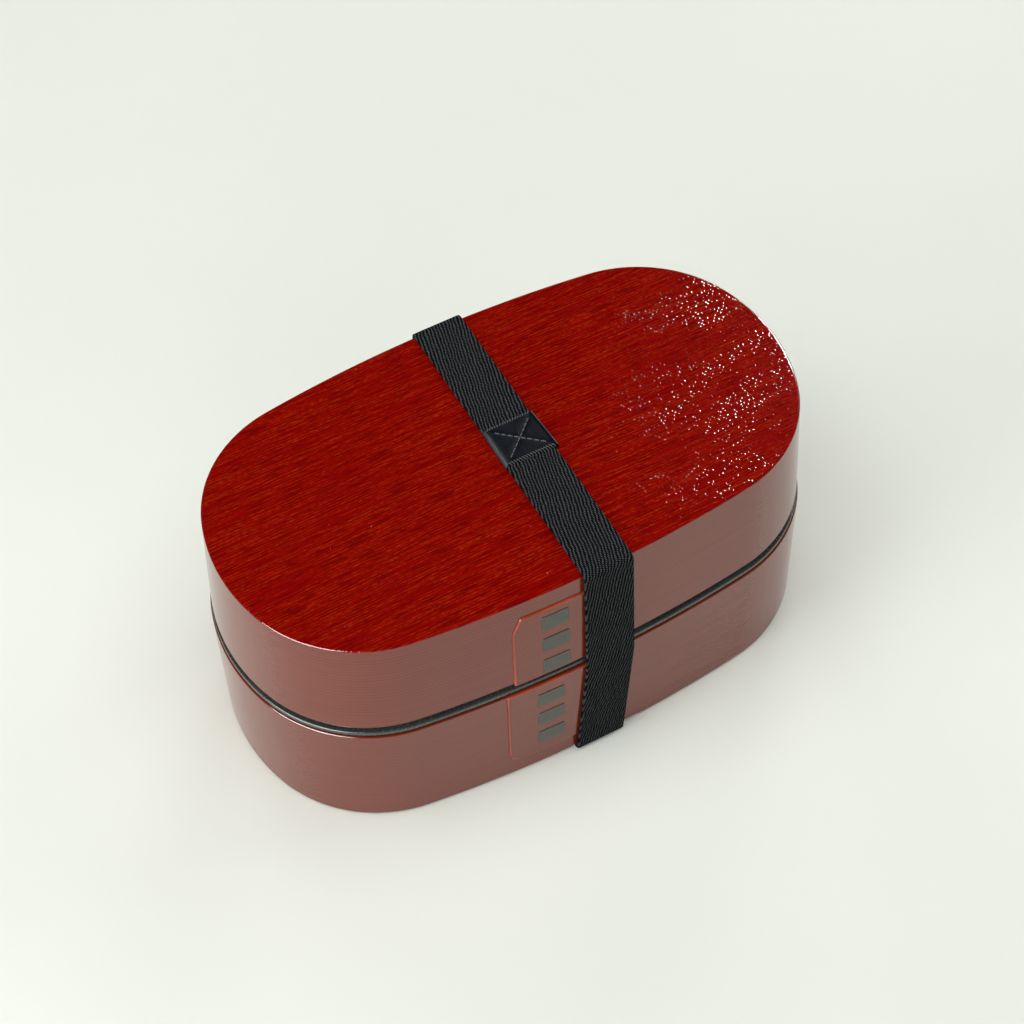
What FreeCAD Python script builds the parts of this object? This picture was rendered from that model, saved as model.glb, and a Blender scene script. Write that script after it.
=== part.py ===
"""Two-tier oval bento lunch box held shut by an elastic belt.

Millimetres, +Z up. The origin is the middle of the base, at the height that the foot ring stands on.
+X runs along the long axis, and -Y is the front, the wall that carries the overlap panel and the
bark marks. Every outline is one plan oval, grown or shrunk by an offset.
"""
import FreeCAD, Part
import math
import os

os.makedirs("parts", exist_ok=True)
V = FreeCAD.Vector

# plan oval at the lid's top edge: a bulged side, a tight corner and a rounder end in each quarter
HALF_LENGTH = 88.1
HALF_WIDTH = 48.8
SIDE_R = 394.0
CORNER_R = 39.9
END_R = 57.4

# heights
BOX_H = 83.7
LID_EDGE_Z = 47.1
LOWER_RIM_Z = 43.0
FOOT_H = 1.7

# outer shells: offset of each edge from the plan oval
LID_EDGE_OFF = 1.25
LOWER_RIM_OFF = 1.85
LOWER_BASE_OFF = 1.25
WALL = 2.2
LID_TOP_T = 2.2
LID_TOP_ROUND = 0.8
BASE_ROUND = 1.3
FOOT_W = 4.0
LID_INNER_ROUND = 0.6
BOX_INNER_ROUND = 3.0

# overlap panel, as on a box bent from one strip of wood, and the bark marks that sew it
PANEL_T = 0.6
PANEL_END_X = 3.0
LID_PANEL_X = -24.4
LID_PANEL_TOP_Z = 76.7
LOWER_PANEL_X = -26.9
LOWER_PANEL_FOOT_Z = 7.8
CHAMFER_X = 2.6
CHAMFER_Z = 6.5
MARK_W = 8.3
MARK_H = 6.0
MARK_T = 0.25
MARK_COUNT = 3
LID_MARK_X = -11.4
LID_MARK_Z = 50.8
LOWER_MARK_X = -13.7
LOWER_MARK_Z = 15.4
MARK_STEP = 10.0

# lower inner lid: flange on the lower box's rim, recess for the upper box, plug and gasket below
FLANGE_TOP_Z = 46.2
FLANGE_LEDGE_Z = 45.1
FLANGE_UNDERCUT_Z = 43.6
FLANGE_OFF = 1.55
FLANGE_FOOT_OFF = 0.6
FLANGE_TOP_OFF = -0.2
PLATE_T = 1.6
RECESS = 1.0
RECESS_OFF = -5.5
PLUG_DEPTH = 5.2
PLUG_T = 1.8
GASKET_H = 2.4
GASKET_GROOVE = 0.9
LID_CLEARANCE = 1.1
GASKET_CLEARANCE = 0.25

# upper box, hidden in the lid
UPPER_RIM_Z = 79.0
UPPER_RIM_H = 2.2
UPPER_RIM_OFF = -2.9
UPPER_TOP_OFF = -4.2
UPPER_BASE_OFF = -5.2
UPPER_FOOT_OFF = -7.0
UPPER_FOOT_H = 1.6
UPPER_WALL = 1.8

# divider, standing across the upper box
DIVIDER_X = 18.0
DIVIDER_T = 1.2
DIVIDER_TOP_Z = 73.2
DIVIDER_CLEARANCE = 1.0
DIVIDER_CORNER = 4.0
DIVIDER_FOOT_W = 7.0

# elastic belt, its sewn patch and the thread
BELT_X = 5.2
BELT_W = 15.3
BELT_T = 1.3
BELT_GAP = 0.12
BELT_INNER_R = 0.15
BELT_NOTCH_W = 24.0
PATCH_L = 14.0
PATCH_W = 16.8
PATCH_Y = 0.0
PATCH_T = 0.6
PATCH_CORNER_R = 0.6
CROSS_L = 1.35
CROSS_GAP = 0.55
EDGE_L = 0.7
EDGE_GAP = 0.5
STITCH_R = 0.17
STITCH_INSET = 1.3

# room that a cutting block takes past what it cuts
MARGIN = 1.0
FRONT_DEPTH = 10.0


def corner_centre():
    """Centre of the corner arc, which touches the side arc and the end arc."""
    side = V(0, HALF_WIDTH - SIDE_R, 0)
    end = V(HALF_LENGTH - END_R, 0, 0)
    to_side = SIDE_R - CORNER_R
    to_end = END_R - CORNER_R
    line = end - side
    length = line.Length
    along = (length**2 + to_side**2 - to_end**2) / (2 * length)
    away = math.sqrt(to_side**2 - along**2)
    unit = line / length
    return side + unit * along + V(unit.y, -unit.x, 0) * away


CORNER = corner_centre()
SIDE_TURN = math.atan2(CORNER.x, CORNER.y - HALF_WIDTH + SIDE_R)
END_TURN = math.atan2(CORNER.x - HALF_LENGTH + END_R, CORNER.y)


def oval(offset, z):
    """The plan oval, grown by offset, as a closed wire of eight arcs at height z."""
    side_c = V(0, HALF_WIDTH - SIDE_R, 0)
    end_c = V(HALF_LENGTH - END_R, 0, 0)
    mirror_x = V(-1, 1, 1)
    mirror_y = V(1, -1, 1)
    both = V(-1, -1, 1)
    same = V(1, 1, 1)
    spans = [
        (side_c, SIDE_R, -SIDE_TURN, SIDE_TURN, same),
        (CORNER, CORNER_R, SIDE_TURN, END_TURN, same),
        (end_c, END_R, END_TURN, math.pi - END_TURN, same),
        (CORNER, CORNER_R, END_TURN, SIDE_TURN, mirror_y),
        (side_c, SIDE_R, SIDE_TURN, -SIDE_TURN, mirror_y),
        (CORNER, CORNER_R, SIDE_TURN, END_TURN, both),
        (end_c, END_R, END_TURN, math.pi - END_TURN, both),
        (CORNER, CORNER_R, END_TURN, SIDE_TURN, mirror_x),
    ]
    edges = []
    for centre, radius, start, stop, flip in spans:
        points = []
        for turn in (start, (start + stop) / 2, stop):
            x = centre.x + (radius + offset) * math.sin(turn)
            y = centre.y + (radius + offset) * math.cos(turn)
            points.append(V(x * flip.x, y * flip.y, z))
        edges.append(Part.Arc(*points).toShape())
    return Part.Wire(edges)


def stack(*levels):
    """Solid through (offset, z) levels, straight between each two."""
    solid = None
    for (off_a, z_a), (off_b, z_b) in zip(levels, levels[1:]):
        slab = Part.makeLoft([oval(off_a, z_a), oval(off_b, z_b)], True, True)
        solid = slab if solid is None else solid.fuse(slab)
    return solid.removeSplitter() if len(levels) > 2 else solid


def ring(z_low, z_high, outer, inner):
    """Oval ring with plain upright walls."""
    hole = stack((inner, z_low - MARGIN), (inner, z_high + MARGIN))
    return stack((outer, z_low), (outer, z_high)).cut(hole)


def edges_at(solid, z):
    """The edges that lie in the plane at height z."""
    return [e for e in solid.Edges if abs(e.BoundBox.ZMin - z) < 1e-4 and abs(e.BoundBox.ZMax - z) < 1e-4]


def rounded(solid, radius, z):
    """The solid with its edges at height z rounded."""
    return solid.makeFillet(radius, edges_at(solid, z))


def slope(off_low, z_low, off_high, z_high, z):
    """Offset at height z on a straight wall."""
    return off_low + (off_high - off_low) * (z - z_low) / (z_high - z_low)


def front_prism(points):
    """Upright slab through the front wall with the given (x, z) outline."""
    wire = Part.makePolygon([V(x, -HALF_WIDTH - FRONT_DEPTH, z) for x, z in points + points[:1]])
    return Part.Face(wire).extrude(V(0, 2 * FRONT_DEPTH, 0))


def mark_prisms(x_mid, z_low):
    """The slabs that cut the bark marks, one above another."""
    prisms = []
    for i in range(MARK_COUNT):
        low = z_low + i * MARK_STEP - MARK_H / 2
        corner = V(x_mid - MARK_W / 2, -HALF_WIDTH - FRONT_DEPTH, low)
        prisms.append(Part.makeBox(MARK_W, 2 * FRONT_DEPTH, MARK_H, corner))
    return prisms


def lid_outer(extra=0.0):
    """The lid's outer volume, grown by extra."""
    return stack((LID_EDGE_OFF + extra, LID_EDGE_Z), (extra, BOX_H))


def lid_panel_outline():
    """The (x, z) outline of the lid's overlap panel: cut off at its upper corner."""
    return [
        (LID_PANEL_X, LID_EDGE_Z),
        (PANEL_END_X, LID_EDGE_Z),
        (PANEL_END_X, LID_PANEL_TOP_Z),
        (LID_PANEL_X + CHAMFER_X, LID_PANEL_TOP_Z),
        (LID_PANEL_X, LID_PANEL_TOP_Z - CHAMFER_Z),
    ]


def lower_panel_outline():
    """The (x, z) outline of the lower box's overlap panel: cut off at its lower corner."""
    return [
        (LOWER_PANEL_X, LOWER_RIM_Z),
        (LOWER_PANEL_X, LOWER_PANEL_FOOT_Z + CHAMFER_Z),
        (LOWER_PANEL_X + CHAMFER_X, LOWER_PANEL_FOOT_Z),
        (PANEL_END_X, LOWER_PANEL_FOOT_Z),
        (PANEL_END_X, LOWER_RIM_Z),
    ]


def outer_lid():
    """Deep lid that covers the whole upper box."""
    ceiling = BOX_H - LID_TOP_T
    inner_top = slope(LID_EDGE_OFF, LID_EDGE_Z, 0, BOX_H, ceiling) - WALL
    shell = rounded(lid_outer(), LID_TOP_ROUND, BOX_H)
    panel = lid_outer(PANEL_T).common(front_prism(lid_panel_outline()))
    cavity = stack((LID_EDGE_OFF - WALL, LID_EDGE_Z), (inner_top, ceiling))
    cavity = rounded(cavity, LID_INNER_ROUND, ceiling)
    return shell.fuse(panel).cut(cavity)


def outer_lid_bark_marks():
    """Three raised marks on the lid's panel."""
    skin = lid_outer(PANEL_T + MARK_T).cut(lid_outer(PANEL_T))
    return Part.makeCompound([skin.common(p) for p in mark_prisms(LID_MARK_X, LID_MARK_Z)])


def lower_outer(extra=0.0):
    """The lower box's outer volume, grown by extra."""
    return stack((LOWER_BASE_OFF + extra, 0), (LOWER_RIM_OFF + extra, LOWER_RIM_Z))


def lower_inner_offset(z):
    """Offset of the lower box's inner wall at height z."""
    return slope(LOWER_BASE_OFF, 0, LOWER_RIM_OFF, LOWER_RIM_Z, z) - WALL


def lower_box():
    """Lower container on a low foot ring, with a gap front and back where the belt goes under."""
    floor = FOOT_H + WALL
    shell = rounded(lower_outer(), BASE_ROUND, 0)
    panel = lower_outer(PANEL_T).common(front_prism(lower_panel_outline()))
    cavity = stack((lower_inner_offset(floor), floor), (lower_inner_offset(LOWER_RIM_Z), LOWER_RIM_Z))
    cavity = rounded(cavity, BOX_INNER_ROUND, floor)
    recess_off = LOWER_BASE_OFF - BASE_ROUND - FOOT_W
    recess = stack((recess_off, 0), (recess_off, FOOT_H))
    notch = Part.makeBox(
        BELT_NOTCH_W,
        3 * HALF_WIDTH,
        FOOT_H,
        V(BELT_X - BELT_NOTCH_W / 2, -1.5 * HALF_WIDTH, 0),
    )
    return shell.fuse(panel).cut(cavity).cut(recess).cut(notch)


def lower_box_bark_marks():
    """Three raised marks on the lower box's panel."""
    skin = lower_outer(PANEL_T + MARK_T).cut(lower_outer(PANEL_T))
    return Part.makeCompound([skin.common(p) for p in mark_prisms(LOWER_MARK_X, LOWER_MARK_Z)])


def gasket_span(rim_z):
    """Lowest and highest z of the gasket under a lid that sits on a rim at rim_z."""
    low = rim_z - PLUG_DEPTH + (PLUG_DEPTH - GASKET_H) / 2
    return low, low + GASKET_H


def plug(rim_z, wall_off):
    """Ring that drops inside a container's wall, with a groove round it for the gasket."""
    outer = wall_off - LID_CLEARANCE
    low, high = gasket_span(rim_z)
    body = ring(rim_z - PLUG_DEPTH, rim_z, outer, outer - PLUG_T)
    return body.cut(ring(low, high, outer + MARGIN, outer - GASKET_GROOVE))


def gasket(rim_z, wall_off):
    """Soft seal that fills the groove and stands a little proud of it."""
    low, high = gasket_span(rim_z)
    return ring(low, high, wall_off - GASKET_CLEARANCE, wall_off - LID_CLEARANCE - GASKET_GROOVE)


def lower_wall_off():
    """Offset of the lower box's inner wall at the tip of the plug."""
    return lower_inner_offset(LOWER_RIM_Z - PLUG_DEPTH)


def lower_inner_lid():
    """Dark lid between the two tiers; its flange shows as a band at the seam."""
    recess = stack((RECESS_OFF, FLANGE_TOP_Z - RECESS), (RECESS_OFF, FLANGE_TOP_Z))
    under_off = lower_wall_off() - LID_CLEARANCE - PLUG_T
    under_z = FLANGE_TOP_Z - RECESS - PLATE_T
    under = stack((under_off, LOWER_RIM_Z), (under_off, under_z))
    return flange_profile().cut(recess).cut(under).fuse(plug(LOWER_RIM_Z, lower_wall_off()))


def flange_profile():
    """Flange with a step on top, and an undercut that leaves a shadow line over the rim."""
    foot = stack((FLANGE_FOOT_OFF, LOWER_RIM_Z), (FLANGE_FOOT_OFF, FLANGE_UNDERCUT_Z))
    band = stack((FLANGE_OFF, FLANGE_UNDERCUT_Z), (FLANGE_OFF, FLANGE_LEDGE_Z))
    top = stack((FLANGE_TOP_OFF, FLANGE_LEDGE_Z), (FLANGE_TOP_OFF, FLANGE_TOP_Z))
    return foot.fuse(band).fuse(top)


def lower_lid_gasket():
    """Seal of the lower inner lid."""
    return gasket(LOWER_RIM_Z, lower_wall_off())


def upper_floor_z():
    """Underside of the upper box's floor."""
    return FLANGE_TOP_Z - RECESS + UPPER_FOOT_H


def upper_inner_offset(z):
    """Offset of the upper box's inner wall at height z."""
    return slope(UPPER_BASE_OFF, upper_floor_z(), UPPER_TOP_OFF, UPPER_RIM_Z, z) - UPPER_WALL


def upper_box():
    """Upper container: thin walls, a rim round the top and a foot ring that sits in the lid below."""
    base = upper_floor_z()
    floor = base + UPPER_WALL
    body = stack((UPPER_BASE_OFF, base), (UPPER_TOP_OFF, UPPER_RIM_Z))
    rim = stack((UPPER_RIM_OFF, UPPER_RIM_Z - UPPER_RIM_H), (UPPER_RIM_OFF, UPPER_RIM_Z))
    foot = ring(base - UPPER_FOOT_H, base, UPPER_FOOT_OFF, UPPER_FOOT_OFF - FOOT_W)
    cavity = stack((upper_inner_offset(floor), floor), (upper_inner_offset(UPPER_RIM_Z), UPPER_RIM_Z))
    cavity = rounded(cavity, BOX_INNER_ROUND, floor)
    return body.fuse(rim).fuse(foot).cut(cavity)


def upper_wall_off():
    """Offset of the upper box's inner wall at the tip of the plug."""
    return upper_inner_offset(UPPER_RIM_Z - PLUG_DEPTH)


def upper_inner_lid():
    """Lid that seals the upper box; its raised edge carries the outer lid."""
    ceiling = BOX_H - LID_TOP_T
    disc = stack((UPPER_RIM_OFF, UPPER_RIM_Z), (UPPER_RIM_OFF, ceiling))
    sunk_off = UPPER_RIM_OFF - FOOT_W
    sunk = stack((sunk_off, ceiling - RECESS / 2), (sunk_off, ceiling))
    return disc.cut(sunk).fuse(plug(UPPER_RIM_Z, upper_wall_off()))


def upper_lid_gasket():
    """Seal of the upper inner lid."""
    return gasket(UPPER_RIM_Z, upper_wall_off())


def upper_divider():
    """Upright plate across the upper box, on a narrow foot."""
    low = upper_floor_z() + UPPER_WALL
    half_top = HALF_WIDTH + upper_inner_offset(DIVIDER_TOP_Z) - DIVIDER_CLEARANCE
    half_low = HALF_WIDTH + upper_inner_offset(low) - DIVIDER_CLEARANCE
    half_foot = half_low - DIVIDER_CORNER
    points = [
        (-half_foot, low),
        (half_foot, low),
        (half_low, low + DIVIDER_CORNER),
        (half_top, DIVIDER_TOP_Z),
        (-half_top, DIVIDER_TOP_Z),
        (-half_low, low + DIVIDER_CORNER),
    ]
    x = DIVIDER_X - DIVIDER_T / 2
    wire = Part.makePolygon([V(x, y, z) for y, z in points + points[:1]])
    plate = Part.Face(wire).extrude(V(DIVIDER_T, 0, 0))
    foot = Part.makeBox(
        DIVIDER_FOOT_W,
        2 * half_foot,
        DIVIDER_T,
        V(DIVIDER_X - DIVIDER_FOOT_W / 2, -half_foot, low),
    )
    return plate.fuse(foot)


def belt_section(grow):
    """Solid across the belt: what the belt goes round, grown by its thickness."""
    side = BELT_GAP + grow
    rim = HALF_WIDTH + LOWER_RIM_OFF + side
    base = HALF_WIDTH + LOWER_BASE_OFF + side
    top = HALF_WIDTH + side
    low = FOOT_H - BELT_GAP / 2 - grow
    high = BOX_H + BELT_GAP / 2 + grow
    points = [
        (-top - PANEL_T, high),
        (-rim - PANEL_T, LOWER_RIM_Z),
        (-base - PANEL_T, low),
        (base, low),
        (rim, LOWER_RIM_Z),
        (top, high),
    ]
    wire = Part.makePolygon([V(BELT_X - BELT_W / 2, y, z) for y, z in points + points[:1]])
    solid = Part.Face(wire).extrude(V(BELT_W, 0, 0))
    corners = [e for e in solid.Edges if is_belt_corner(e, low, high)]
    return solid.makeFillet(BELT_INNER_R + grow, corners)


def is_belt_corner(edge, low, high):
    """True for the four edges along the belt's width at its top and bottom turns."""
    box = edge.BoundBox
    along_width = box.XLength > BELT_W / 2
    level = min(abs(box.ZMin - low), abs(box.ZMin - high)) < 1e-4
    return along_width and level


def belt_band():
    """Closed loop of flat elastic round both tiers."""
    return belt_section(BELT_T).cut(belt_section(0))


def patch_floor():
    """Height of the belt's upper face."""
    return BOX_H + BELT_GAP / 2 + BELT_T


def belt_patch():
    """Small square patch over the belt's joined ends, folded down beside both of its edges."""
    low = BOX_H + BELT_GAP / 2
    corner = V(BELT_X - PATCH_W / 2, PATCH_Y - PATCH_L / 2, low)
    patch = Part.makeBox(PATCH_W, PATCH_L, BELT_T + PATCH_T, corner)
    upright = [e for e in patch.Edges if e.BoundBox.ZLength > PATCH_T]
    inside = Part.makeBox(BELT_W, PATCH_L, BELT_T, V(BELT_X - BELT_W / 2, corner.y, low))
    return patch.makeFillet(PATCH_CORNER_R, upright).cut(inside)


def stitch(start, direction, length):
    """One stitch: a half-round rod lying on the patch."""
    rod = Part.makeCylinder(STITCH_R, length, start, direction)
    keep = Part.makeBox(4 * length, 4 * length, STITCH_R, start - V(2 * length, 2 * length, 0))
    return rod.common(keep)


def seam(a, b, length, gap):
    """An even number of stitches, spaced evenly from a to b."""
    line = b - a
    pitch = length + gap
    count = 2 * int((line.Length + gap) / (2 * pitch))
    unit = line / line.Length
    start = (line.Length - count * pitch + gap) / 2
    return [stitch(a + unit * (start + i * pitch), unit, length) for i in range(count)]


def belt_patch_thread():
    """Cross seam and two edge seams that hold the patch."""
    z = patch_floor() + PATCH_T
    x = PATCH_W / 2 - STITCH_INSET
    y = PATCH_L / 2 - STITCH_INSET
    edge = PATCH_L / 2 - STITCH_INSET / 2
    left = BELT_X - x
    right = BELT_X + x
    seams = seam(V(left, PATCH_Y + y, z), V(right, PATCH_Y - y, z), CROSS_L, CROSS_GAP)
    seams += seam(V(right, PATCH_Y + y, z), V(left, PATCH_Y - y, z), CROSS_L, CROSS_GAP)
    for y_edge in (PATCH_Y - edge, PATCH_Y + edge):
        seams += seam(V(left, y_edge, z), V(right, y_edge, z), EDGE_L, EDGE_GAP)
    return Part.makeCompound(seams)


NODES = [
    lower_box,
    lower_box_bark_marks,
    lower_inner_lid,
    lower_lid_gasket,
    upper_box,
    upper_divider,
    upper_inner_lid,
    upper_lid_gasket,
    outer_lid,
    outer_lid_bark_marks,
    belt_band,
    belt_patch,
    belt_patch_thread,
]

for make in NODES:
    shape = make()
    shape.exportStep("parts/" + make.__name__ + ".step")
    box = shape.BoundBox
    size = "%.1f x %.1f x %.1f" % (box.XLength, box.YLength, box.ZLength)
    state = "valid" if shape.isValid() else "NOT VALID"
    print(make.__name__, state, len(shape.Solids), "solids", "%.0f mm3" % shape.Volume, size)
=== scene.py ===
"""Looks of an oval two-tier lunch box: lacquered shells, dark inner lids, a woven belt and its patch.

Metres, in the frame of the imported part: +X along the box, -Y the front, the floor at zero height.
Every shell is one profile swept round the same plan oval, made of arcs that touch each other.
"""

import math

import bmesh
import bpy
from bpy.props import FloatProperty, FloatVectorProperty, IntProperty, PointerProperty
from mathutils import Matrix, Vector


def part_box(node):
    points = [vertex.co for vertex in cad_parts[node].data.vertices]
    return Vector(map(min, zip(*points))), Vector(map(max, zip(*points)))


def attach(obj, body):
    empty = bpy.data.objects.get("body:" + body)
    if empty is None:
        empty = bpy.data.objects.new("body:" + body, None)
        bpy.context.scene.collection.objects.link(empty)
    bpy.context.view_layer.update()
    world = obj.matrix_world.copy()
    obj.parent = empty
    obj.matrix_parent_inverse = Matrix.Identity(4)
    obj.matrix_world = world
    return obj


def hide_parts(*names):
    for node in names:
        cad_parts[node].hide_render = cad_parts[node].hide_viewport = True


bl_info = {
    "name": "Oval Lunch Box",
    "version": (1, 0, 0),
    "blender": (4, 5, 0),
    "location": "View3D > Sidebar > Lunch Box",
    "description": "Builds a lacquered two-tier lunch box with its inner lids and elastic belt",
    "category": "Add Mesh",
}

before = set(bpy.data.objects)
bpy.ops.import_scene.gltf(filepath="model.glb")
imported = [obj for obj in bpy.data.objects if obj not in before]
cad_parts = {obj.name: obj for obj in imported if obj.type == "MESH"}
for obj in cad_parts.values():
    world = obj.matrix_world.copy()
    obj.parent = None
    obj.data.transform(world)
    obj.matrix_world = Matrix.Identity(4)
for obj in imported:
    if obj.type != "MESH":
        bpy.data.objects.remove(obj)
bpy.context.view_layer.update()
MM = 0.001


# ---------------------------------------------------------------- sizes taken from the frame

def low_high(node):
    """Lowest and highest corner of a frame node, as vectors."""
    low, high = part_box(node)
    return Vector(low), Vector(high)


LID_LOW, LID_HIGH = low_high("outer_lid")
LOWER_HIGH = low_high("lower_box")[1]
INNER_LOW, INNER_HIGH = low_high("lower_inner_lid")
UPPER_LOW, UPPER_HIGH = low_high("upper_box")
TOP_LID_LOW, TOP_LID_HIGH = low_high("upper_inner_lid")
DIVIDER_LOW, DIVIDER_HIGH = low_high("upper_divider")
LOWER_SEAL_LOW, LOWER_SEAL_HIGH = low_high("lower_lid_gasket")
UPPER_SEAL_LOW, UPPER_SEAL_HIGH = low_high("upper_lid_gasket")
BELT_LOW, BELT_HIGH = low_high("belt_band")
PATCH_LOW, PATCH_HIGH = low_high("belt_patch")
LID_MARKS_LOW, LID_MARKS_HIGH = low_high("outer_lid_bark_marks")
LOWER_MARKS_LOW, LOWER_MARKS_HIGH = low_high("lower_box_bark_marks")


def length(name, text, default):
    """A length property in metres."""
    return FloatProperty(name=name, description=text, default=default, unit="LENGTH", precision=5)


def colour(name, text, default):
    """A linear colour property."""
    return FloatVectorProperty(name=name, description=text, default=default, subtype="COLOR", size=3,
                               min=0.0, max=1.0)


class ShellSizes(bpy.types.PropertyGroup):
    """Sizes of the plan oval and of the moulded shells."""

    half_length: length("Half length", "Middle to end of the plan oval", 88.1 * MM)
    half_width: length("Half width", "Middle to side of the plan oval", 48.8 * MM)
    side_radius: length("Side radius", "Radius of the bulged sides", 394 * MM)
    corner_radius: length("Corner radius", "Radius of the corners", 39.9 * MM)
    end_radius: length("End radius", "Radius of the two ends", 57.4 * MM)
    lid_flare: length("Lid flare", "How far the lid's lower edge stands outside the oval", 1.25 * MM)
    rim_flare: length("Rim flare", "How far the lower box's rim stands outside the oval", 1.85 * MM)
    base_flare: length("Base flare", "How far the lower box's base stands outside the oval", 1.25 * MM)
    wall: length("Wall", "Thickness of the lacquered shells", 2.2 * MM)
    top_round: length("Top edge radius", "Rounding of the lid's top edge", 0.6 * MM)
    base_round: length("Base radius", "Rounding of the lower box's bottom edge", 1.2 * MM)
    foot_height: length("Foot height", "Height of the foot ring", 1.7 * MM)
    foot_width: length("Foot width", "Width of the foot ring", 4.0 * MM)
    notch: length("Notch", "Width of the gap in the foot ring where the belt goes under", 24 * MM)
    thin_wall: length("Container wall", "Thickness of the hidden upper container", 1.8 * MM)
    panel_lift: length("Panel lift", "How far the overlap panel stands out of the wall", 0.6 * MM)
    panel_end: length("Panel end", "Where the overlap panel ends, under the belt", 3.0 * MM)
    mark_lift: length("Mark lift", "How far a bark mark stands out of the panel", 0.2 * MM)
    arc_step: length("Arc step", "Length of one facet round an oval", 1.2 * MM)
    corner_steps: IntProperty(name="Corner steps", description="Facets round a small corner", default=5)


class BeltSizes(bpy.types.PropertyGroup):
    """Sizes of the belt, its patch and its thread."""

    width: length("Width", "Width of the elastic", 15.3 * MM)
    thickness: length("Thickness", "Thickness of the elastic", 1.3 * MM)
    bend: length("Bend", "Radius of the belt's inner face where it turns over an edge", 0.7 * MM)
    patch_height: length("Patch height", "Height of the patch over the lid", 2.0 * MM)
    patch_round: length("Patch fold", "Radius of the patch's folded edges", 0.85 * MM)
    stitch_length: length("Stitch length", "Length of one stitch", 1.35 * MM)
    stitch_gap: length("Stitch gap", "Space between two stitches", 0.55 * MM)
    thread_radius: length("Thread radius", "Radius of the thread", 0.17 * MM)


class Finishes(bpy.types.PropertyGroup):
    """Colours of the lacquer, plastics, elastic and patch."""

    lacquer: colour("Lacquer", "Body colour of the red lacquer", (0.215, 0.0012, 0.0008))
    grain_dark: colour("Grain dark", "Pores of the wood-grain lines", (0.125, 0.0004, 0.0004))
    grain_light: colour("Grain light", "Raised lines of the wood grain", (0.31, 0.019, 0.002))
    wall: colour("Wall", "Lacquer of the walls", (0.138, 0.015, 0.005))
    wall_light: colour("Wall light", "Lighter level lines of the walls", (0.175, 0.026, 0.009))
    # Panel edge: a painted highlight, light orange colour on the panels' rounded edges in place of the light
    # they catch.
    edge: colour("Panel edge", "Lighter ground on the panels' edges", (0.42, 0.060, 0.022))
    flange: colour("Inner lid", "Grey plastic of the inner lids", (0.05, 0.06, 0.055))
    container: colour("Container", "Black plastic inside the box", (0.012, 0.012, 0.012))
    mark: colour("Bark mark", "Grey-green of the bark marks", (0.055, 0.06, 0.042))
    seal: colour("Seal", "Silicone of the gaskets", (0.55, 0.55, 0.53))
    # Rib and groove: the ribs carry painted light and the grooves painted shade, on an elastic that is black
    # all over.
    rib: colour("Rib", "Ribs of the elastic", (0.108, 0.115, 0.116))
    groove: colour("Groove", "Grooves of the elastic", (0.004, 0.005, 0.006))
    patch: colour("Patch", "Imitation leather of the patch", (0.0010, 0.0019, 0.0038))
    # Patch edge: the rolled side edges of the patch are coloured much lighter than its face.
    patch_edge: colour("Patch edge", "Rolled edges of the patch", (0.035, 0.044, 0.048))
    thread: colour("Thread", "Thread on the patch", (0.05, 0.052, 0.06))


class StageLook(bpy.types.PropertyGroup):
    """Floor, lights and camera."""

    floor: colour("Floor", "Colour of the pale floor", (0.775, 0.806, 0.733))
    room: FloatProperty(name="Room", description="Strength of the dim room around the stage", default=0.01)
    eye: FloatVectorProperty(name="Eye", description="Where the camera stands", subtype="XYZ",
                             default=(-0.211576, -0.418866, 0.690555), unit="LENGTH", precision=6)
    aim: FloatVectorProperty(name="Aim", description="Point that the camera looks at", subtype="XYZ",
                             default=(0.019440, 0.034557, 0.0), unit="LENGTH", precision=6)
    roll: FloatProperty(name="Roll", description="Roll of the camera", subtype="ANGLE",
                        default=math.radians(-2.11))
    lens: FloatProperty(name="Lens", description="Focal length in millimetres", default=96.05)


# ---------------------------------------------------------------- the plan oval

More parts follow.
